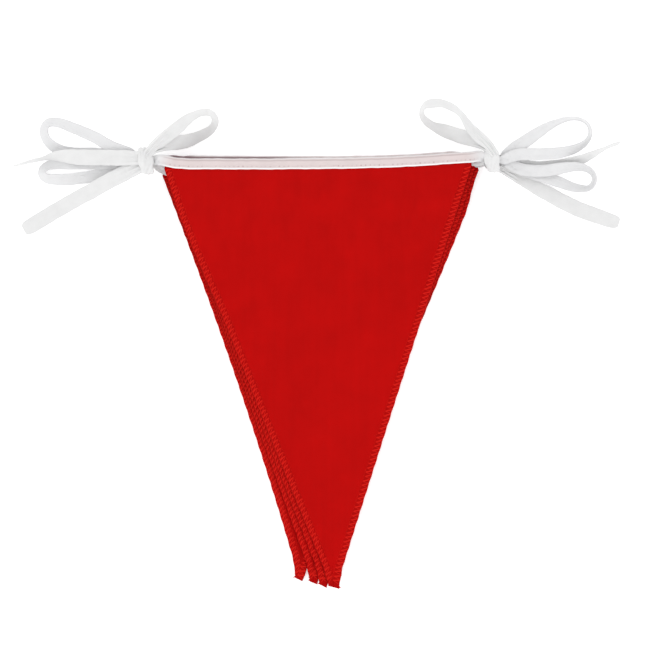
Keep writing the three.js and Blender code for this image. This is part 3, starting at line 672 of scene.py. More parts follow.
def woven_tape(name, white, band=None):
    """Narrow woven polyester tape: white, matt, with fine ribs across it and firm edges. The
    ribs are drawn 0.6 mm apart, about twice the real spacing, so that they show. The band's
    tape takes a pink tinge over red cloth, because it is thin. It is painted darker about its needle holes,
    in the gap above the front band's fold and along its crease, as painted shade, and painted whiter beside
    the knots, as painted light, and along its woven edge, partly for its firmer edge and partly as painted
    light."""
    material, tree, shader = new_material(name)
    marks = {
        mark: node(tree, "ShaderNodeAttribute", {"attribute_name": mark}).outputs["Fac"]
        for mark in (BAND_MARKS if band else STRIP_MARKS)
    }
    flat = node(tree, "ShaderNodeCombineXYZ", None, {"X": marks["run"], "Y": marks["cut"]})
    coords = node(tree, "ShaderNodeTexCoord").outputs["Object"]
    clouds = node(
        tree, "ShaderNodeTexNoise", None, {"Vector": coords, "Scale": per_metre(TAPE_CLOUD), "Detail": 3.0}
    ).outputs["Fac"]
    shade = node(
        tree,
        "ShaderNodeMapRange",
        None,
        {"Value": clouds, "From Min": 0.3, "From Max": 0.7, "To Min": 0.95, "To Max": 1.0},
    )
    layers = [(MULTIPLY, 1.0, shade.outputs[0])]
    if band:
        layers = [
            (MIX, marks["backed"], rgba(band.pink)),
            *layers,
            # Painted shade round the needle holes, painted white along the woven edge and as painted light
            # by the knots, and painted shade in the gap and the crease
            (MIX, painted_hole_shade(tree, marks, band.stitch), rgba(linear(HOLE_SHADE_GREY))),
            (MIX, marks["woven_edge_and_painted_light"], rgba(linear(EDGE_AND_PAINTED_LIGHT_WHITE))),
            (MIX, marks["deep"], rgba(linear(GAP_SHADE_GREY))),
        ]
    tint = rgba(white)
    for blend, share, over in layers:
        tint = node(tree, "ShaderNodeMix", blend, {0: share, 6: tint, 7: over}).outputs[2]
    tree.links.new(tint, shader.inputs["Base Color"])
    shader.inputs["Roughness"].default_value = 0.8
    shader.inputs["Specular IOR Level"].default_value = 0.2
    ribs = plain_weave(tree, flat.outputs[0], TAPE_RIB)
    link_normal(tree, shader, (clouds, 0.2 * MM), (ribs, 0.05 * MM))
    return material


def painted_hole_shade(tree, marks, stitch):
    """Painted shade about each needle hole, half a millimetre round: how dark the tape is painted
    there. The distance to the nearest hole is taken along the seam, folded back every half stitch, and
    across it. How far a hole is drawn open differs from stitch to stitch."""
    to_hole, off_seam = (
        node(tree, "ShaderNodeMath", {"operation": operation}, {0: marks[mark], 1: value}).outputs[0]
        for operation, mark, value in (("PINGPONG", "run", stitch / MM / 2), ("SUBTRACT", "cut", SEAM_CUT))
    )
    away = node(tree, "ShaderNodeCombineXYZ", None, {"X": to_hole, "Y": off_seam})
    distance = node(tree, "ShaderNodeVectorMath", {"operation": "LENGTH"}, {0: away.outputs[0]})
    dark = node(
        tree,
        "ShaderNodeMapRange",
        SMOOTH,
        {
            "Value": distance.outputs["Value"], "From Min": HOLE_NEAR, "From Max": HOLE_FAR,
            "To Min": HOLE_SHADE_STRENGTH, "To Max": 0.0,
        },
    )
    inputs = {0: dark.outputs[0], 1: marks["hole"]}
    return node(tree, "ShaderNodeMath", {"operation": "MULTIPLY"}, inputs).outputs[0]


# The band


# The folded tape's outline: the share of a ply that bends round the fold, how far the seam
# draws the plies together and how far they open again below it
FOLD_SHARE, SEAM_PINCH, LIP = 0.2, 0.42, 0.14
# Shares of a ply's width below the fold, close together at the crease and the seam
PLY_SHARES = np.array([0, 0.045, 0.09, 0.14, 0.26, 0.4, 0.54, 0.64, 0.7, 0.8, 0.92, 1])
# A pressed crease along the tape beside the fold
CREASE_AT, CREASE_WIDE, CREASE_DEEP = 0.205, 0.03, 0.2
# The painted shade along the crease: its half width and how dark it is painted
CREASE_LINE, CREASE_SHADE_STRENGTH = 0.3, 0.3
PLY_WIDE = 7.5
SEAM_SHARE = 0.74
SEAM_CUT = PLY_WIDE * SEAM_SHARE
PUFF_PASS, PUFF_KNEE, PUFF_KNOT, PUFF_BARE = 1.45, 1.15, 0.75, 0.5
FRONT_WIDE, KNEE_WIDE, WIDE_IN_KNOT, WIDE_BY_KNOT = 6.9, 6.9, 3.0, 6.2
PASS_ROWS = 24
# A strand through a knot: shares of the way and of its turn, width and puff
KNOT_ROWS = [
    (0, 0, WIDE_BY_KNOT, PUFF_KNOT), (0.3, 0.15, WIDE_IN_KNOT, PUFF_KNOT),
    (0.7, 0.85, WIDE_IN_KNOT, PUFF_KNOT), (1, 1, WIDE_BY_KNOT, PUFF_BARE),
]
# Half a knot's length along x, how far a strand's rows reach out of the knot on its inner and
# its outer side, and how far inside it a raw end stops
KNOT_HALF, KNOT_BEFORE, KNOT_PAST, RAW_INSIDE = 4, 0.9, 1.2, 0.5
# How much higher up the picture than its line the front band lies, at the left, and how much
# more towards the right
RISE_LEAST, RISE_MORE, RISE_FROM, RISE_TO = 0.1, 0.55, -60, 50
# The painted shade in the gap above the front band's fold: its middle over the fold, its half width at the
# left and farther on, where it narrows, opens and closes, and how dark it is painted
GAP_OVER, GAP_LEFT, GAP_ON, GAP_SHADE_STRENGTH = 0.3, 2.0, 0.9, 0.9
GAP_NARROWS, GAP_OPENS, GAP_CLOSES = (-93, -80), (-99, -96.5), (-45, 5)
# Across the tape: where cloth behind it tinges it, and where its woven edge begins
TINGE_FROM, WOVEN_EDGE = (0.2, 1.2), (6.5, 6.9)
# Where the tape beside a knot is bunched and painted whiter, as painted light against the shade
# there, from the plan's origin, and how far below the front band's height a layer counts as behind it
PAINTED_LIGHT_FROM, PAINTED_LIGHT_TO, BEHIND = (99.5, 101.5), (110, 114), 2
# How uneven the tape is up and down and from side to side: the longest wave, the width that a
# ply counts for, its height away from a knot and what a knot adds; and how far a knot reaches
TAPE_CREASES, TAPE_WAVER, TAPE_KNOT_REACH = (7.5, 9, 0.07, 0.3), (23, 0, 0.1, 0.15), 9


def fold_outline(r, wide, puff, inset=0.0):
    """Half the folded tape's outline, from the fold, r = 0, to an open edge, r = 1, or -1 for
    the back ply: a quarter circle of radius puff, then a line down to the edge whose distance
    from the middle narrows to the seam and opens a little below it, with a bell-shaped crease
    pressed in beside the fold."""
    size = np.abs(r)
    bend = np.minimum(size / FOLD_SHARE, 1) * np.pi / 2
    down = np.clip((size - FOLD_SHARE) / (1 - FOLD_SHARE), 0, 1)
    radius = puff - inset
    a = wide / 2 - inset - radius * (1 - np.cos(bend)) - (wide - inset - radius) * down
    narrow = 1 - (1 - SEAM_PINCH) * smoothstep(down, 0.05, 0.66) + LIP * smoothstep(down, 0.72, 1)
    crease = CREASE_DEEP * np.exp(-(((size - CREASE_AT) / CREASE_WIDE) ** 2))
    return a, np.sign(r) * np.sin(bend) * np.maximum(puff * narrow - crease - inset, 0.03)


def knot_rows(index, side, flip_in, flip_out, raw=False):
    """One strand through a knot, from the pile's side outwards, drawn together inside it."""
    knot = KNOTS[side]
    out = np.sign(knot["outer"] - knot["inner"])
    ends = knot["inner"] - KNOT_BEFORE * out, knot["outer"] + (-RAW_INSIDE if raw else KNOT_PAST) * out
    z = strand_height(index)
    return [
        (mixed(*ends, part), knot["y"], z, mixed(flip_in, flip_out, turned), wide, puff, 0)
        for part, turned, wide, puff in KNOT_ROWS
    ]


def front_rise(x):
    """How much higher up the picture than its line the front band lies."""
    return RISE_LEAST + RISE_MORE * smoothstep(x, RISE_FROM, RISE_TO)


def pass_rows(index, flip):
    """The band over one pennant, from its left knee to its right knee. The front one is
    pressed a little narrower, so that the ones behind it show above its fold."""
    layer = LAYERS[index]
    wide = FRONT_WIDE if index == 0 else BAND_WIDE
    rise = front_rise if index == 0 else np.zeros_like
    x = np.linspace(KNOTS["left"]["knee"], KNOTS["right"]["knee"], PASS_ROWS)
    inside = np.abs(x - middle_line(layer, SQUARE_TOP)) < half_width(layer, SQUARE_TOP) + 1
    knee = (x == x[0]) | (x == x[-1])
    line, high = band_line(layer, x) + rise(x), np.full_like(x, fold_height(index))
    wide, puff = np.where(knee, KNEE_WIDE, wide), np.where(knee, PUFF_KNEE, PUFF_PASS)
    return list(zip(x, line, high, np.full_like(x, flip), wide, puff, inside))


def return_rows(table, flip):
    """A run of bare tape between two knots, turned on by the flip."""
    return [(x, y, z, turn + flip, wide, PUFF_BARE, 0) for x, y, z, turn, wide in table]


def band_rows():
    """The whole band from its raw end in the left knot to its raw end in the right one. The
    fold is on the far side of the pennants on every pass, so the tape turns over in each knot
    that it comes back through."""
    returns = [RETURN_UPPER_RIGHT, RETURN_UPPER_LEFT, RETURN_LOWER_RIGHT, RETURN_LOWER_LEFT]
    rows, flip = knot_rows(0, "left", 0, 0, raw=True)[::-1], 0
    for index in range(len(LAYERS)):
        going_right = index % 2 == 0
        passed = pass_rows(index, flip)
        side = "right" if going_right else "left"
        rows += passed if going_right else passed[::-1]
        rows += knot_rows(index, side, flip, flip, raw=index == LAST)
        if index < LAST:
            rows += return_rows(returns[index], flip)
            rows += knot_rows(index + 1, side, flip + 180, flip)[::-1]
            flip += 180
    return rows


def band_run():
    """Place, turn, width, puff and cloth inside for each step along the band, and the two
    directions of its section."""
    run = even_run(smooth_run(band_rows(), parts=6))
    line = run[:, :3]
    return run, *turned_frame(line, run[:, 3])


def knot_nearness(line, reach):
    """1 inside a knot, and outside it a bell of the distance from it along x over the reach."""
    gaps = [np.abs(line[:, 0] - knot_x(knot)) - KNOT_HALF for knot in KNOTS.values()]
    return np.exp(-((np.maximum(np.min(gaps, axis=0), 0) / reach) ** 2))


def fold_shares():
    """The outline's points, from the back ply's edge at -1 over the fold to the front one's."""
    bend = np.linspace(0, FOLD_SHARE, 5)[:-1]
    one = np.concatenate([bend, FOLD_SHARE + (1 - FOLD_SHARE) * PLY_SHARES])
    return np.concatenate([-one[:0:-1], one])


def painted_gap_shade(places):
    """Painted shade where the front band's fold stands off the ones behind it: the gap is painted
    dark, with a red cast from the cloth, as a flat-topped bell across the gap, which is wide at
    its left end and closes towards the right."""
    x, y, z = np.moveaxis(places, -1, 0)
    over = y - (front_line(x) + front_rise(x) + FRONT_WIDE / 2) - GAP_OVER
    wide = mixed(GAP_LEFT, GAP_ON, smoothstep(x, *GAP_NARROWS))
    open_here = smoothstep(x, *GAP_OPENS) * (1 - smoothstep(x, *GAP_CLOSES))
    return np.exp(-((over / wide) ** 4)) * open_here * below_front(z) * GAP_SHADE_STRENGTH


def below_front(z):
    """Whether something at a height counts as behind the front band."""
    return z < fold_height(0) - BEHIND


def band_marks(run, at, r, places):
    """What the band's material reads at each point: its place along the tape, and across it
    from the fold, where red cloth lies behind it, how far open the nearest needle holes are
    drawn, where shade is painted on it, in the gap above the front band's fold and along the crease, and
    where it is painted whiter, along its woven edge, partly as painted light, and beside a knot, as painted
    light."""
    inside, out = run[:, 6:7], np.abs(run[:, :1])
    cut = np.abs(np.concatenate([r, r[:, ::-1]], axis=1)) * PLY_WIDE * np.ones_like(out)
    backed = inside * smoothstep(cut, *TINGE_FROM) * (1 - smoothstep(cut, *WOVEN_EDGE))
    hole = np.random.default_rng(31).uniform(0, 1, out.shape) ** 2 * inside
    # Painted shade along the pressed crease beside the fold
    crease = CREASE_SHADE_STRENGTH * np.exp(-(((cut - PLY_WIDE * CREASE_AT) / CREASE_LINE) ** 2))
    # Painted light beside a knot, where the tape lies in the shade of the knot and the bands above
    painted_light_by_knot = smoothstep(out, *PAINTED_LIGHT_FROM) * (1 - smoothstep(out, *PAINTED_LIGHT_TO)) * (1 - inside)
    marks = {
        "run": at[:, None],
        "cut": cut,
        "backed": backed,
        "hole": hole,
        # Painted shade in the gap above the front band and along the crease
        "deep": np.maximum(painted_gap_shade(places), crease) * inside,
        # The woven edge is painted whiter, partly for its firmer white edge and partly as painted light
        "woven_edge_and_painted_light": np.maximum(inside * smoothstep(cut, *WOVEN_EDGE), painted_light_by_knot * below_front(run[:, 2:3])),
    }
    return {mark: np.broadcast_to(values, cut.shape) for mark, values in marks.items()}


def build_band(band):
    """The tape, folded in half, along the whole run: the folded outline and the same again one
    ply further in, joined into a closed skin, creased more the nearer it is to a knot."""
    run, across, face = band_run()
    line, wide, puff = run[:, :3], run[:, 4:5], run[:, 5:6]
    at = lengths_of(line)
    r = fold_shares()[None, :]
    near = knot_nearness(line, TAPE_KNOT_REACH)[:, None]
    crease, waver = (
        uneven(at[:, None], r * ply_wide, longest, seed) * (high + more * near)
        for seed, (longest, ply_wide, high, more) in ((11, TAPE_CREASES), (12, TAPE_WAVER))
    )
    rings = []
    for inset in (0.0, band.ply / MM):
        a, b = fold_outline(r, wide, puff, inset)
        rings.append(swept(line, across, face, *np.broadcast_arrays(a + waver, b + crease)))
    places = np.concatenate([rings[0], rings[1][:, ::-1]], axis=1)
    skin = Skin()
    skin.add(places, tube_faces(*places.shape[:2]), **band_marks(run, at, r, places))
    piece = skin.finish("band", woven_tape("woven fold-over tape", band.white, band))
    seam = build_seam(band, run, across, face, at)
    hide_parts("header_tape")


# A stitch of the seam: how far it stays off its two needle holes, as a share, its points, how
# high it bulges and how deep its ends lie, and how thick it is in the middle and at its ends
STITCH_OFF, STITCH_POINTS, STITCH_RING = 0.12, 7, 6
STITCH_HIGH, STITCH_SUNK, STITCH_THICK, STITCH_THIN = 0.16, 0.1, 0.12, 0.05


def build_seam(band, run, across, face, at):
    """The seam's stitches on both faces: each a short thread that bulges out of the tape as a
    half sine between its two needle holes."""
    pitch = band.stitch / MM
    count = int(at[-1] / pitch) - 1
    part = np.linspace(0, 1, STITCH_POINTS)[None, :]
    share = STITCH_OFF + (1 - 2 * STITCH_OFF) * part
    here = (np.arange(count)[:, None] + share) * pitch
    columns = np.column_stack([run[:, :3], across, face, run[:, 4:7]]).T
    held = np.stack([np.interp(here, at, column) for column in columns], -1)
    line, sideways, out = held[..., :3], unit(held[..., 3:6]), unit(held[..., 6:9])
    wide, puff, inside = np.moveaxis(held[..., 9:], -1, 0)
    thick = (STITCH_THICK * np.sin(np.pi * share) + STITCH_THIN)[..., None]
    faces = many(tube_faces(STITCH_POINTS, STITCH_RING), STITCH_POINTS * STITCH_RING, count)
    skin = Skin()
    for ply_side in (-1, 1):
        a, b = fold_outline(np.full_like(here, ply_side * SEAM_SHARE), wide, puff)
        b = b + ply_side * (STITCH_HIGH * np.sin(np.pi * part) - STITCH_SUNK)
        centre = line + a[..., None] * sideways + b[..., None] * out
        rings = rings_about(centre, sideways, out, thick, thick, STITCH_RING)
        skin.add(rings, faces, backed=np.repeat(inside, STITCH_RING))
    return skin.finish("band_seam", sewing_thread(band), 180)


def sewing_thread(band):
    """Spun polyester sewing thread: white like the tape, and drawn so tight into it that it
    takes the tape's tinge over the red cloth; its twist is too fine to draw."""
    material, tree, shader = new_material("spun polyester sewing thread")
    backed = node(tree, "ShaderNodeAttribute", {"attribute_name": "backed"}).outputs["Fac"]
    inputs = {0: backed, 6: rgba(band.white), 7: rgba(band.pink)}
    tint = node(tree, "ShaderNodeMix", MIX, inputs).outputs[2]
    tree.links.new(tint, shader.inputs["Base Color"])
    shader.inputs["Roughness"].default_value = 0.7
    link_normal(tree, shader, (thread_fuzz(tree, SEWING_FUZZ), 0.08 * MM))
    return material


# The pennants


def build_cloth(settings):
    """The five pennants, each its middle surface on a grid whose columns crowd towards the
    edges, for the ripples and the painted shade there, with half the thickness to either side."""
    material = woven_polyester(settings)
    for index, name in enumerate(CLOTH_NAMES):
        columns, rows = CLOTH_FINE if index == 0 else CLOTH_COARSE
        v = np.linspace(-1, 1, columns + 1)[None, :]
        u = np.sign(v) * (1 - (1 - np.abs(v)) ** EDGE_FINER)
        t = np.linspace(0, 1, rows + 1)[:, None]
        middle = cloth_surface(index, u, t)
        rings = two_faced(middle, cloth_normal(index, u, t), settings.thickness)
        skin = Skin()
        skin.add(rings, tube_faces(rows + 1, 2 * (columns + 1)), gap=shade_gap(index, rings))
        piece = skin.finish(name, material)
        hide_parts(f"pennant_{index + 1}")


# A thread's ring of points, and how thin its ends are
THREAD_RING, THREAD_THIN = 6, 0.35
# The share of the way down where the stitches begin, and the steps by which edges are measured
STITCHES_FROM, EDGE_STEPS = 0.022, 700


def edge_lengths(index, side):
    """How far down the slanted edge each t lies, in millimetres, below the band."""
    t = np.linspace(STITCHES_FROM, 1, EDGE_STEPS)
    return t, lengths_of(cloth_surface(index, side, t))


def on_cloth(index, side, along, inward, up):
    """Places on a pennant from its edge: along the edge, in from it and up off the cloth."""
    t, at = edge_lengths(index, side)
    t = np.interp(along, at, t)
    u = side * (1 - inward / half_width(LAYERS[index], t))
    return cloth_surface(index, u, t) + up[..., None] * cloth_normal(index, u, t)


def rings_about(paths, side, out, half_wide, half_high, ring):
    """An ellipse about each point of the paths, half_wide along side and half_high along out."""
    angle = np.linspace(0, 2 * np.pi, ring, endpoint=False)
    return (
        paths[:, :, None]
        + (half_wide * np.cos(angle))[..., None] * side[:, :, None]
        + (half_high * np.sin(angle))[..., None] * out[:, :, None]
    )


def threads(paths, sideways, half_wide, half_high, ring=THREAD_RING):
    """Thin flat threads along paths: at each point an ellipse, its long axis sideways made
    square to the path and its short axis square to both. Both ends taper as a half sine to
    the power of 0.4 does, down to the thin share."""
    run = unit(np.gradient(paths, axis=1))
    side = unit(sideways - (sideways * run).sum(-1, keepdims=True) * run)
    part = np.linspace(0, 1, paths.shape[1])[None, :, None]
    taper = mixed(THREAD_THIN, 1, np.sin(np.pi * part) ** 0.4)
    return rings_about(paths, side, np.cross(run, side), taper * half_wide, taper * half_high, ring)


# Paths of the overlock's threads, with three columns: in from the edge as a share of the depth,
# along the edge as a share of the slant, and up off the cloth in millimetres. A stroke of the
# looper thread starts at the needle line, lies across the upper face, and wraps round the edge
# on to the lower face. A thinner thread leads back under the next stroke, and the needle thread
# shows as a dash.
STROKE = [
    (1.0, 1.0, -0.06), (0.9, 0.96, 0.14), (0.66, 0.79, 0.2), (0.52, 0.66, 0.2), (0.4, 0.52, 0.2),
    (0.28, 0.38, 0.2), (0.16, 0.22, 0.2), (0.08, 0.12, 0.2), (0.01, 0.03, 0.17), (-0.01, -0.04, 0.0),
    (0.02, -0.02, -0.2), (0.5, 0.1, -0.22),
]
LEAD_BACK = [(0.97, 0.0, 0.0), (0.75, 0.2, 0.13), (0.45, 0.5, 0.15), (0.15, 0.8, 0.16), (0.02, 1.0, 0.12)]
DASH = [(1.03, 0, -0.08), (1.03, 0.25, 0.12), (1.03, 0.5, 0.17), (1.03, 0.75, 0.12), (1.03, 1, -0.08)]
# How far along the edge a stroke's inner end lies, down the pennant, on its left and right
SLANTS = {-1: -3.8, 1: 1.15}
# How much the strokes' slants and depths differ, as shares, and their places, in millimetres
SLANT_VARIES, DEPTH_VARIES, PLACE_VARIES = 0.06, 0.04, 0.1
# The first stroke's place and how much of a slant it is moved on by, what stays bare at the end,
# and the dash's distance from its holes
FIRST_STROKE, FIRST_ON, BARE_END, DASH_OFF = 1.0, 0.4, 2.0, 0.1
# A stroke's two plies: how far beside its path each lies, half their height, and how much lower
# the second is
PLY_BESIDE, PLY_HIGH, PLY_LOWER = 0.22, 0.13, 0.02
# Half the width and height of the thread that leads back, the needle thread and the edge chain
BACK_SIZE, NEEDLE_SIZE, CHAIN_SIZE = (0.26, 0.1), (0.17, 0.15), (0.26, 0.26)
# The edge chain's place in from the edge and up off the cloth, and what it leaves bare above and
# below
CHAIN_IN, CHAIN_UP, CHAIN_TOP, CHAIN_END = 0.08, 0.02, 0.2, 0.3
# How far apart two places are from which a direction is taken
ALONG_STEP, INWARD_STEP = 0.4, 0.5


def lay(skin, index, side, path, along, reach, size, ring=4, lower=0.0):
    """Lays the thread of a path over and over along an edge. For each thread, along holds how
    far down the edge its points lie, and reach what their shares of the depth are taken of."""
    share, _, up = np.array(path).T[:, None]
    along = np.maximum(along, 0)
    up = up - lower + np.zeros_like(along)
    places = on_cloth(index, side, along, share * reach, up)
    across = on_cloth(index, side, along + ALONG_STEP, share * reach, up) - places
    rings = threads(places, across, *size, ring)
    faces = many(tube_faces(len(path), ring), ring * len(path), len(along))
    skin.add(rings, faces, gap=shade_gap(index, rings))


def build_overlock(settings):
    """Overlock stitches along both slanted edges: strokes of two plies side by side over the
    edge, a thinner thread leading back, and the needle thread's stitches at the inner end."""
    material = overlock_thread(settings)
    pitch, depth, half = settings.pitch / MM, settings.depth / MM, settings.width / MM / 2
    for index, name in enumerate(EDGING_NAMES):
        skin = Skin()
        for side in (-1, 1):
            long = edge_lengths(index, side)[1][-1]
            chance = np.random.default_rng(40 + 2 * index + side)
            count = int((long - BARE_END) / pitch)
            slant, inner = chance.normal(0, 1, (2, count, 1))
            slant = SLANTS[side] * (1 + SLANT_VARIES * slant)
            start = FIRST_STROKE + np.arange(count)[:, None] * pitch
            start = start - min(SLANTS[side], 0) * FIRST_ON
            start = start + PLACE_VARIES * chance.normal(0, 1, (count, 1))
            reach = depth * (1 + DEPTH_VARIES * inner)
            stroke, back, dash = (np.array(path)[None, :, 1] for path in (STROKE, LEAD_BACK, DASH))
            end = start + slant
            for beside, lower in ((-PLY_BESIDE, 0.0), (PLY_BESIDE, PLY_LOWER)):
                along = start + stroke * slant + beside
                lay(skin, index, side, STROKE, along, reach, (half, PLY_HIGH), 6, lower)
            lay(skin, index, side, LEAD_BACK, end + back * (pitch - slant), reach, BACK_SIZE)
            along = end + DASH_OFF + dash * (pitch - 2 * DASH_OFF)
            lay(skin, index, side, DASH, along, reach, NEEDLE_SIZE)
            add_edge_chain(skin, index, side, long)
            # The front pennant's thread ends hang at its right corner, the others' at the left
            if side == (-1 if index else 1):
                add_thread_ends(skin, index, side, chance)
        skin.finish(name, material, 180)


def add_edge_chain(skin, index, side, long):
    """The chain that the looper threads lock in along the cut edge: an even cord that rides on
    the edge."""
    points = round(long / CHAIN_STEP)
    along = np.linspace(CHAIN_TOP, long - CHAIN_END, points)[None, :]
    inward, up = np.full_like(along, CHAIN_IN), np.full_like(along, CHAIN_UP)
    places = on_cloth(index, side, along, inward, up)
    across = on_cloth(index, side, along, inward + INWARD_STEP, up) - places
    rings = threads(places, across, *CHAIN_SIZE)
    gap = np.full(rings[..., 0].shape, CHAIN_GAP)
    skin.add(rings, tube_faces(points, THREAD_RING), gap=gap)


# The threads left at a tip: how many, their points, their length and how much it differs, half
# their width and height, and how far from the edge they count as for its painted shade
ENDS, END_POINTS, END_LONG, END_VARIES = 4, 7, 1.1, 0.15
END_SIZE, END_GAP = (0.32, 0.3), 0.5
# How far they fan out, from the first to the last, and how far they lift, with the differences,
# and the shares of the way down where they leave the edge and from where its direction is taken
FAN_FIRST, FAN_LAST, FAN_VARIES, END_LIFT, LIFT_VARIES = -0.3, 1.0, 0.1, 0.2, 0.25
ENDS_AT, EDGE_ABOVE = 0.994, 0.97


def add_thread_ends(skin, index, side, chance):
    """The chain of thread cut off at the tip: a few short ends that leave the corner downwards
    and curl outwards, each a quarter of a circle drawn out along the edge."""
    swing = np.linspace(0, 1, END_POINTS)[None, :] * np.pi / 2
    fan = np.linspace(FAN_FIRST, FAN_LAST, ENDS)[:, None]
    fan = fan + FAN_VARIES * chance.normal(0, 1, (ENDS, 1))
    long = END_LONG + END_VARIES * chance.normal(0, 1, (ENDS, 1))
    corner, above, tip = (cloth_surface(index, float(side), t) for t in (ENDS_AT, EDGE_ABOVE, 1.0))
    outward = np.array([side, -0.1, 0.0])
    lift = LIFT_VARIES * chance.normal(0, 1, (ENDS, 1)) * swing / (np.pi / 2) + END_LIFT
    places = (
        corner
        + (long * np.sin(swing) * (1.1 - 0.35 * fan))[..., None] * unit(tip - above)
        + (long * (1 - np.cos(swing)) * fan)[..., None] * outward
        + lift[..., None] * UP
    )
    rings = threads(places, np.broadcast_to([1.0, 0.3, 0.1], places.shape), *END_SIZE)
    faces = many(tube_faces(END_POINTS, THREAD_RING), THREAD_RING * END_POINTS, ENDS)
    skin.add(rings, faces, gap=np.full(rings[..., 0].shape, END_GAP))


# The ties


# Points across a flat tape, closer together at its woven edges, how thin a share it is there,
# and a tie's width
STRIP_SHARES = np.array([-1, -0.97, -0.9, -0.76, -0.6, -0.42, -0.22, 0, 0.22, 0.42, 0.6, 0.76, 0.9, 0.97, 1])
EDGE_THIN, TIE_WIDE = 0.4, 10
# How uneven a tie is: how far it is turned in degrees, curled, shifted and dented in millimetres,
# each with its longest wave, and its pleats beside a knot, how high, how many to half the width,
# and how far a knot reaches
TURN_VARIES, CURL_VARIES, SHIFT_VARIES, DENTS = (2.5, 31), (0.35, 47), (0.12, 19), (0.1, 14)
PLEAT_HIGH, PLEATS, TIE_KNOT_REACH = 0.5, 1.6, 12
# A cut end's corners: the share of the width that they lose, over this length
CORNER_LOSS, CORNER_LONG = 0.35, 0.8


def add_strip(skin, line, across, face, at, section, thick, joined=False):
    """A flat tape along a line. Its section is c, from -1 to 1 across it, with the place and
    the height of its middle there. Half its thickness is the thin share of it, and the rest
    times the square root of 1 less c to the eighth."""
    c, a, middle = section
    half = thick / 2 * mixed(EDGE_THIN, 1, np.sqrt(np.maximum(1 - c**8, 0)))
    a, middle, half = np.broadcast_arrays(a, middle, half)
    rings = [swept(line, across, face, a, middle + sign * half) for sign in (-1, 1)]
    places = np.concatenate([rings[0], rings[1][:, ::-1]], axis=1)
    cut = np.concatenate([a, a[:, ::-1]], axis=1)
    run = np.repeat(at, cut.shape[1])
    skin.add(places, tube_faces(*cut.shape, joined), run=run, cut=cut)


def add_tape(skin, rows, thick, seed):
    """A loop or a tail of a tie along its rows. Its section is a shallow curve, c squared, with
    pleats as a cosine wave beside a knot, and it turns, curls and wavers a little."""
    run = even_run(smooth_run(rows))
    line, wide = run[:, :3], run[:, 4:5]
    at = lengths_of(line)
    turn, curl, shift = (
        high * uneven(at, 0 * at, longest, seed + offset)[:, None]
        for (high, longest), offset in ((TURN_VARIES, 0), (CURL_VARIES, 1), (SHIFT_VARIES, 3))
    )
    across, face = turned_frame(line, run[:, 3] + turn[:, 0])
    near = knot_nearness(line, TIE_KNOT_REACH)[:, None]
    c = STRIP_SHARES[None, :]
    wide = wide * (1 - CORNER_LOSS * np.exp(-(at[-1] - at) / CORNER_LONG))[:, None]
    dents, dent_long = DENTS
    middle = curl * (c**2 - 1 / 3) + PLEAT_HIGH * near * np.cos(2 * np.pi * PLEATS * c)
    middle = middle + dents * uneven(at[:, None], c * 5, dent_long, seed + 2)
    section = c, c * wide / 2, middle
    add_strip(skin, line + shift * across, across, face, at, section, thick)
    return at[-1]


# The wrap: its steps round the strands and across the tape, its half sizes across and up, how
# round it is, 1 for an ellipse, its half width and how much that differs
WRAP_STEPS, WRAP_ACROSS, WRAP_Y, WRAP_Z, WRAP_ROUND = 96, 33, 6.0, 6.2, 0.85
WRAP_WIDE, WRAP_VARIES = 4.0, 0.25


def add_wrap(skin, knot, thick, seed):
    """The tie round the strands: a fat ellipse in the plane across the band, with the tape
    gathered in pleats that run round it, a cosine wave of 1.7 pleats to each half of the tape
    that swings from side to side and a smaller one on it."""
    swing = np.linspace(0, 2 * np.pi, WRAP_STEPS, endpoint=False)
    y, z = (np.sign(w) * np.abs(w) ** WRAP_ROUND for w in (np.cos(swing), np.sin(swing)))
    x = np.full_like(y, knot_x(knot) + knot["shift"])
    line = np.column_stack([x, knot["y"] + WRAP_Y * y, STRAND_MID_Z + WRAP_Z * z])
    run = unit(np.roll(line, -1, 0) - np.roll(line, 1, 0))
    across = np.tile([1.0, 0.0, 0.0], (len(line), 1))
    face = unit(np.cross(run, across))
    c, swing = np.linspace(-1, 1, WRAP_ACROSS)[None, :], swing[:, None]
    pleat = 0.32 * np.cos(2 * np.pi * 1.7 * c + 0.7 * np.sin(swing + seed))
    pleat = pleat + 0.12 * np.cos(11 * c + 2 * swing)
    section = c, c * (WRAP_WIDE + WRAP_VARIES * np.sin(2 * swing + seed)), pleat
    at = lengths_of(line)
    add_strip(skin, line, across, face, at, section, thick, joined=True)
    return at[-1]


# The knot on a wrap: its steps along and round, its height and how far it arches up and across,
# and half its width and height
KNOT_STEPS, KNOT_RING = 40, 48
KNOT_LOW, KNOT_ARCH, KNOT_ACROSS, KNOT_WIDE, KNOT_HIGH = 12.2, 5.2, 7.9, 4.6, 1.3


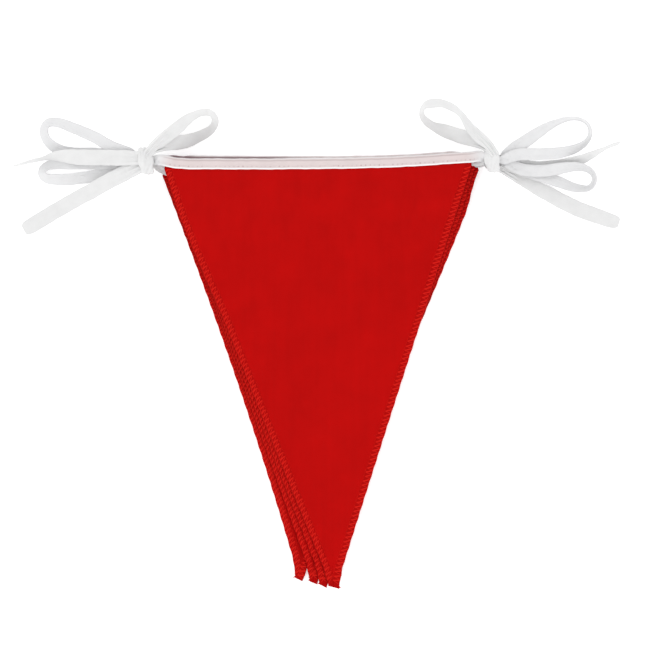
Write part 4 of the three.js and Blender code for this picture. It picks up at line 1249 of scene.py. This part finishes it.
def build_knot(side, material):
    """The knot on the wrap: tape drawn tight over the top in an arch that runs aslant, a flat
    oval section, wider in the middle than at its two ends, with creases across it where the
    sine of a slanting wave meets zero, and gentle lumps."""
    knot = KNOTS[side]
    out = np.sign(knot["outer"] - knot["inner"])
    part = np.linspace(0.04, 0.96, KNOT_STEPS)
    swing = np.pi * part
    y = knot["y"] - 0.6 * knot["shift"] - 0.6 + KNOT_ACROSS * np.cos(swing)
    z = KNOT_LOW + KNOT_ARCH * np.sin(swing) ** 0.75
    x = knot_x(knot) + 1.5 * knot["shift"] + 0.4 * out - 0.2 * (y - knot["y"])
    line = np.column_stack([x, y, z])
    run = unit(np.gradient(line, axis=0))
    across = unit(np.array([[1.0, 0, 0]]) - run[:, :1] * run)
    face = np.cross(run, across)
    angle = np.linspace(0, 2 * np.pi, KNOT_RING, endpoint=False)[None, :]
    full = (0.62 + 0.4 * np.sin(swing) + 0.07 * np.sin(5 * swing))[:, None]
    wave = np.pi * (1.5 * np.cos(angle) + 2.3 * part[:, None]) + 0.8 * np.sin(3 * swing)[:, None]
    folds = 0.6 * np.abs(np.sin(wave)) ** 0.7 + 0.3 * uneven(4 * np.cos(angle), 16 * part[:, None], 8, 60)
    a = full * KNOT_WIDE * np.cos(angle) * (1 + 0.05 * np.cos(5 * angle + 3 * part[:, None]))
    b = full * KNOT_HIGH * np.sin(angle) + (folds - 0.4) * np.maximum(np.sin(angle), 0)
    places = swept(line, across, face, a, b)
    skin = Skin()
    skin.add(places, tube_faces(*a.shape), run=np.repeat(lengths_of(line), KNOT_RING), cut=a)
    return skin.finish(f"knot_{side}", material)


def build_tie(settings, side, material, seed):
    """One tie: the wrap, the loop and the two tails as one piece, and the knot on them."""
    thick = settings.thickness / MM
    skin = Skin()
    used = add_wrap(skin, KNOTS[side], thick, seed)
    for k, rows in enumerate(TIE_RUNS[side].values()):
        used += add_tape(skin, rows, thick, seed + 10 * k)
    piece = skin.finish(f"tie_tape_{side}", material)
    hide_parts(f"tie_{side}")
    build_knot(side, material)


# The stage


def opal_sheet(settings):
    """Opal acrylic sheet with lamps under it: matt white, and it glows evenly, so that what
    lies on it throws hardly any shadow."""
    material, _, shader = new_material("opal acrylic sheet")
    shader.inputs["Base Color"].default_value = rgba(settings.floor)
    shader.inputs["Roughness"].default_value = 0.9
    shader.inputs["Specular IOR Level"].default_value = 0.1
    shader.inputs["Emission Color"].default_value = rgba(settings.floor)
    shader.inputs["Emission Strength"].default_value = settings.glow
    return material


def area_light(name, place, size, power):
    """A round soft lamp that aims at the origin."""
    light = bpy.data.lights.new(name, "AREA")
    light.shape, light.size, light.energy = "DISK", size, power
    lamp = bpy.data.objects.new(name, light)
    bpy.context.collection.objects.link(lamp)
    lamp.location = place
    lamp.rotation_euler = Vector(place).to_track_quat("Z", "Y").to_euler()


# The floor's half width in metres and how far it lies below the pile
FLOOR_REACH, FLOOR_LOW = 12.0, 0.4
SKY_STRENGTH, LAMP_PLACE, LAMP_SIZE, LAMP_POWER = 1.12, (-1.2, -1.5, 2.3), 1.8, 8
# The middle of the picture, which lies half a pixel up and to the left of the plan's own origin
PICTURE_MIDDLE = np.array([-0.32, 0.32, 0])
# The pile's middle height, on which the picture's width is measured, and the camera's sensor
FOCUS_HIGH, SENSOR = 9, 36.0


def build_stage(settings):
    """A pale floor lit from below, a high soft lamp and an even sky, and the camera straight
    above."""
    scene = bpy.context.scene
    mesh = bpy.data.meshes.new("floor")
    around = ((-1, -1), (1, -1), (1, 1), (-1, 1))
    corners = [(x * FLOOR_REACH, y * FLOOR_REACH, -FLOOR_LOW * MM) for x, y in around]
    mesh.from_pydata(corners, [], [(0, 1, 2, 3)])
    floor = bpy.data.objects.new("floor", mesh)
    bpy.context.collection.objects.link(floor)
    mesh.materials.append(opal_sheet(settings))

    world = scene.world or bpy.data.worlds.new("sky")
    scene.world = world
    world.use_nodes = True
    sky = world.node_tree.nodes["Background"]
    sky.inputs["Color"].default_value = (1.0, 1.0, 1.0, 1.0)
    sky.inputs["Strength"].default_value = SKY_STRENGTH
    area_light("key", LAMP_PLACE, LAMP_SIZE, LAMP_POWER)

    lens = bpy.data.cameras.new("camera")
    camera = bpy.data.objects.new("camera", lens)
    bpy.context.collection.objects.link(camera)
    middle = (ORIGIN + PICTURE_MIDDLE) * MM
    camera.location = (middle[0], middle[1], settings.camera_height)
    lens.sensor_width = SENSOR
    lens.lens = SENSOR * (settings.camera_height - FOCUS_HIGH * MM) / settings.picture_width
    lens.clip_end = 100
    scene.camera = camera
    scene.view_settings.view_transform = "Standard"


# Operators


class BUNTING_OT_stage(bpy.types.Operator):
    """Add the floor that is lit from below, the light and the camera"""

    bl_idname = "bunting.stage"
    bl_label = "Stage"

    def execute(self, context):
        build_stage(context.scene.bunting_stage)
        return {"FINISHED"}


class BUNTING_OT_pennants(bpy.types.Operator):
    """Add the five cloth pennants"""

    bl_idname = "bunting.pennants"
    bl_label = "Pennants"

    def execute(self, context):
        build_cloth(context.scene.bunting_cloth)
        return {"FINISHED"}


class BUNTING_OT_overlock(bpy.types.Operator):
    """Sew over the pennants' slanted edges"""

    bl_idname = "bunting.overlock"
    bl_label = "Overlock edges"

    def execute(self, context):
        build_overlock(context.scene.bunting_overlock)
        return {"FINISHED"}


class BUNTING_OT_band(bpy.types.Operator):
    """Add the folded tape that holds the pennants, and its seam"""

    bl_idname = "bunting.band"
    bl_label = "Header band"

    def execute(self, context):
        build_band(context.scene.bunting_band)
        return {"FINISHED"}


class BUNTING_OT_ties(bpy.types.Operator):
    """Tie the gathered band at both sides"""

    bl_idname = "bunting.ties"
    bl_label = "Ties"

    def execute(self, context):
        settings = context.scene.bunting_tie
        material = woven_tape("woven tie tape", settings.white)
        for side, seed in (("left", 100), ("right", 200)):
            build_tie(settings, side, material, seed)
        return {"FINISHED"}


class BUNTING_PT_panel(bpy.types.Panel):
    """Lists the pieces and the sizes and colours that can be changed"""

    bl_idname = "BUNTING_PT_panel"
    bl_label = "Bunting"
    bl_space_type = "VIEW_3D"
    bl_region_type = "UI"
    bl_category = "Bunting"

    def draw(self, context):
        for operator, settings in STEPS:
            box = self.layout.box()
            box.operator(operator.bl_idname)
            group = getattr(context.scene, settings)
            for name in group.__annotations__:
                box.prop(group, name)


STEPS = [
    (BUNTING_OT_stage, "bunting_stage"),
    (BUNTING_OT_pennants, "bunting_cloth"),
    (BUNTING_OT_overlock, "bunting_overlock"),
    (BUNTING_OT_band, "bunting_band"),
    (BUNTING_OT_ties, "bunting_tie"),
]
GROUPS = {
    "bunting_stage": StageSettings,
    "bunting_cloth": ClothSettings,
    "bunting_overlock": OverlockSettings,
    "bunting_band": BandSettings,
    "bunting_tie": TieSettings,
}
CLASSES = [*GROUPS.values(), *(operator for operator, _ in STEPS), BUNTING_PT_panel]


def register():
    for made in CLASSES:
        bpy.utils.register_class(made)
    for name, group in GROUPS.items():
        setattr(bpy.types.Scene, name, PointerProperty(type=group))


def unregister():
    for name in GROUPS:
        delattr(bpy.types.Scene, name)
    for made in reversed(CLASSES):
        bpy.utils.unregister_class(made)


def main():
    register()
    bpy.ops.bunting.stage()
    bpy.ops.bunting.pennants()
    bpy.ops.bunting.overlock()
    bpy.ops.bunting.band()
    bpy.ops.bunting.ties()


if __name__ == "__main__":
    main()
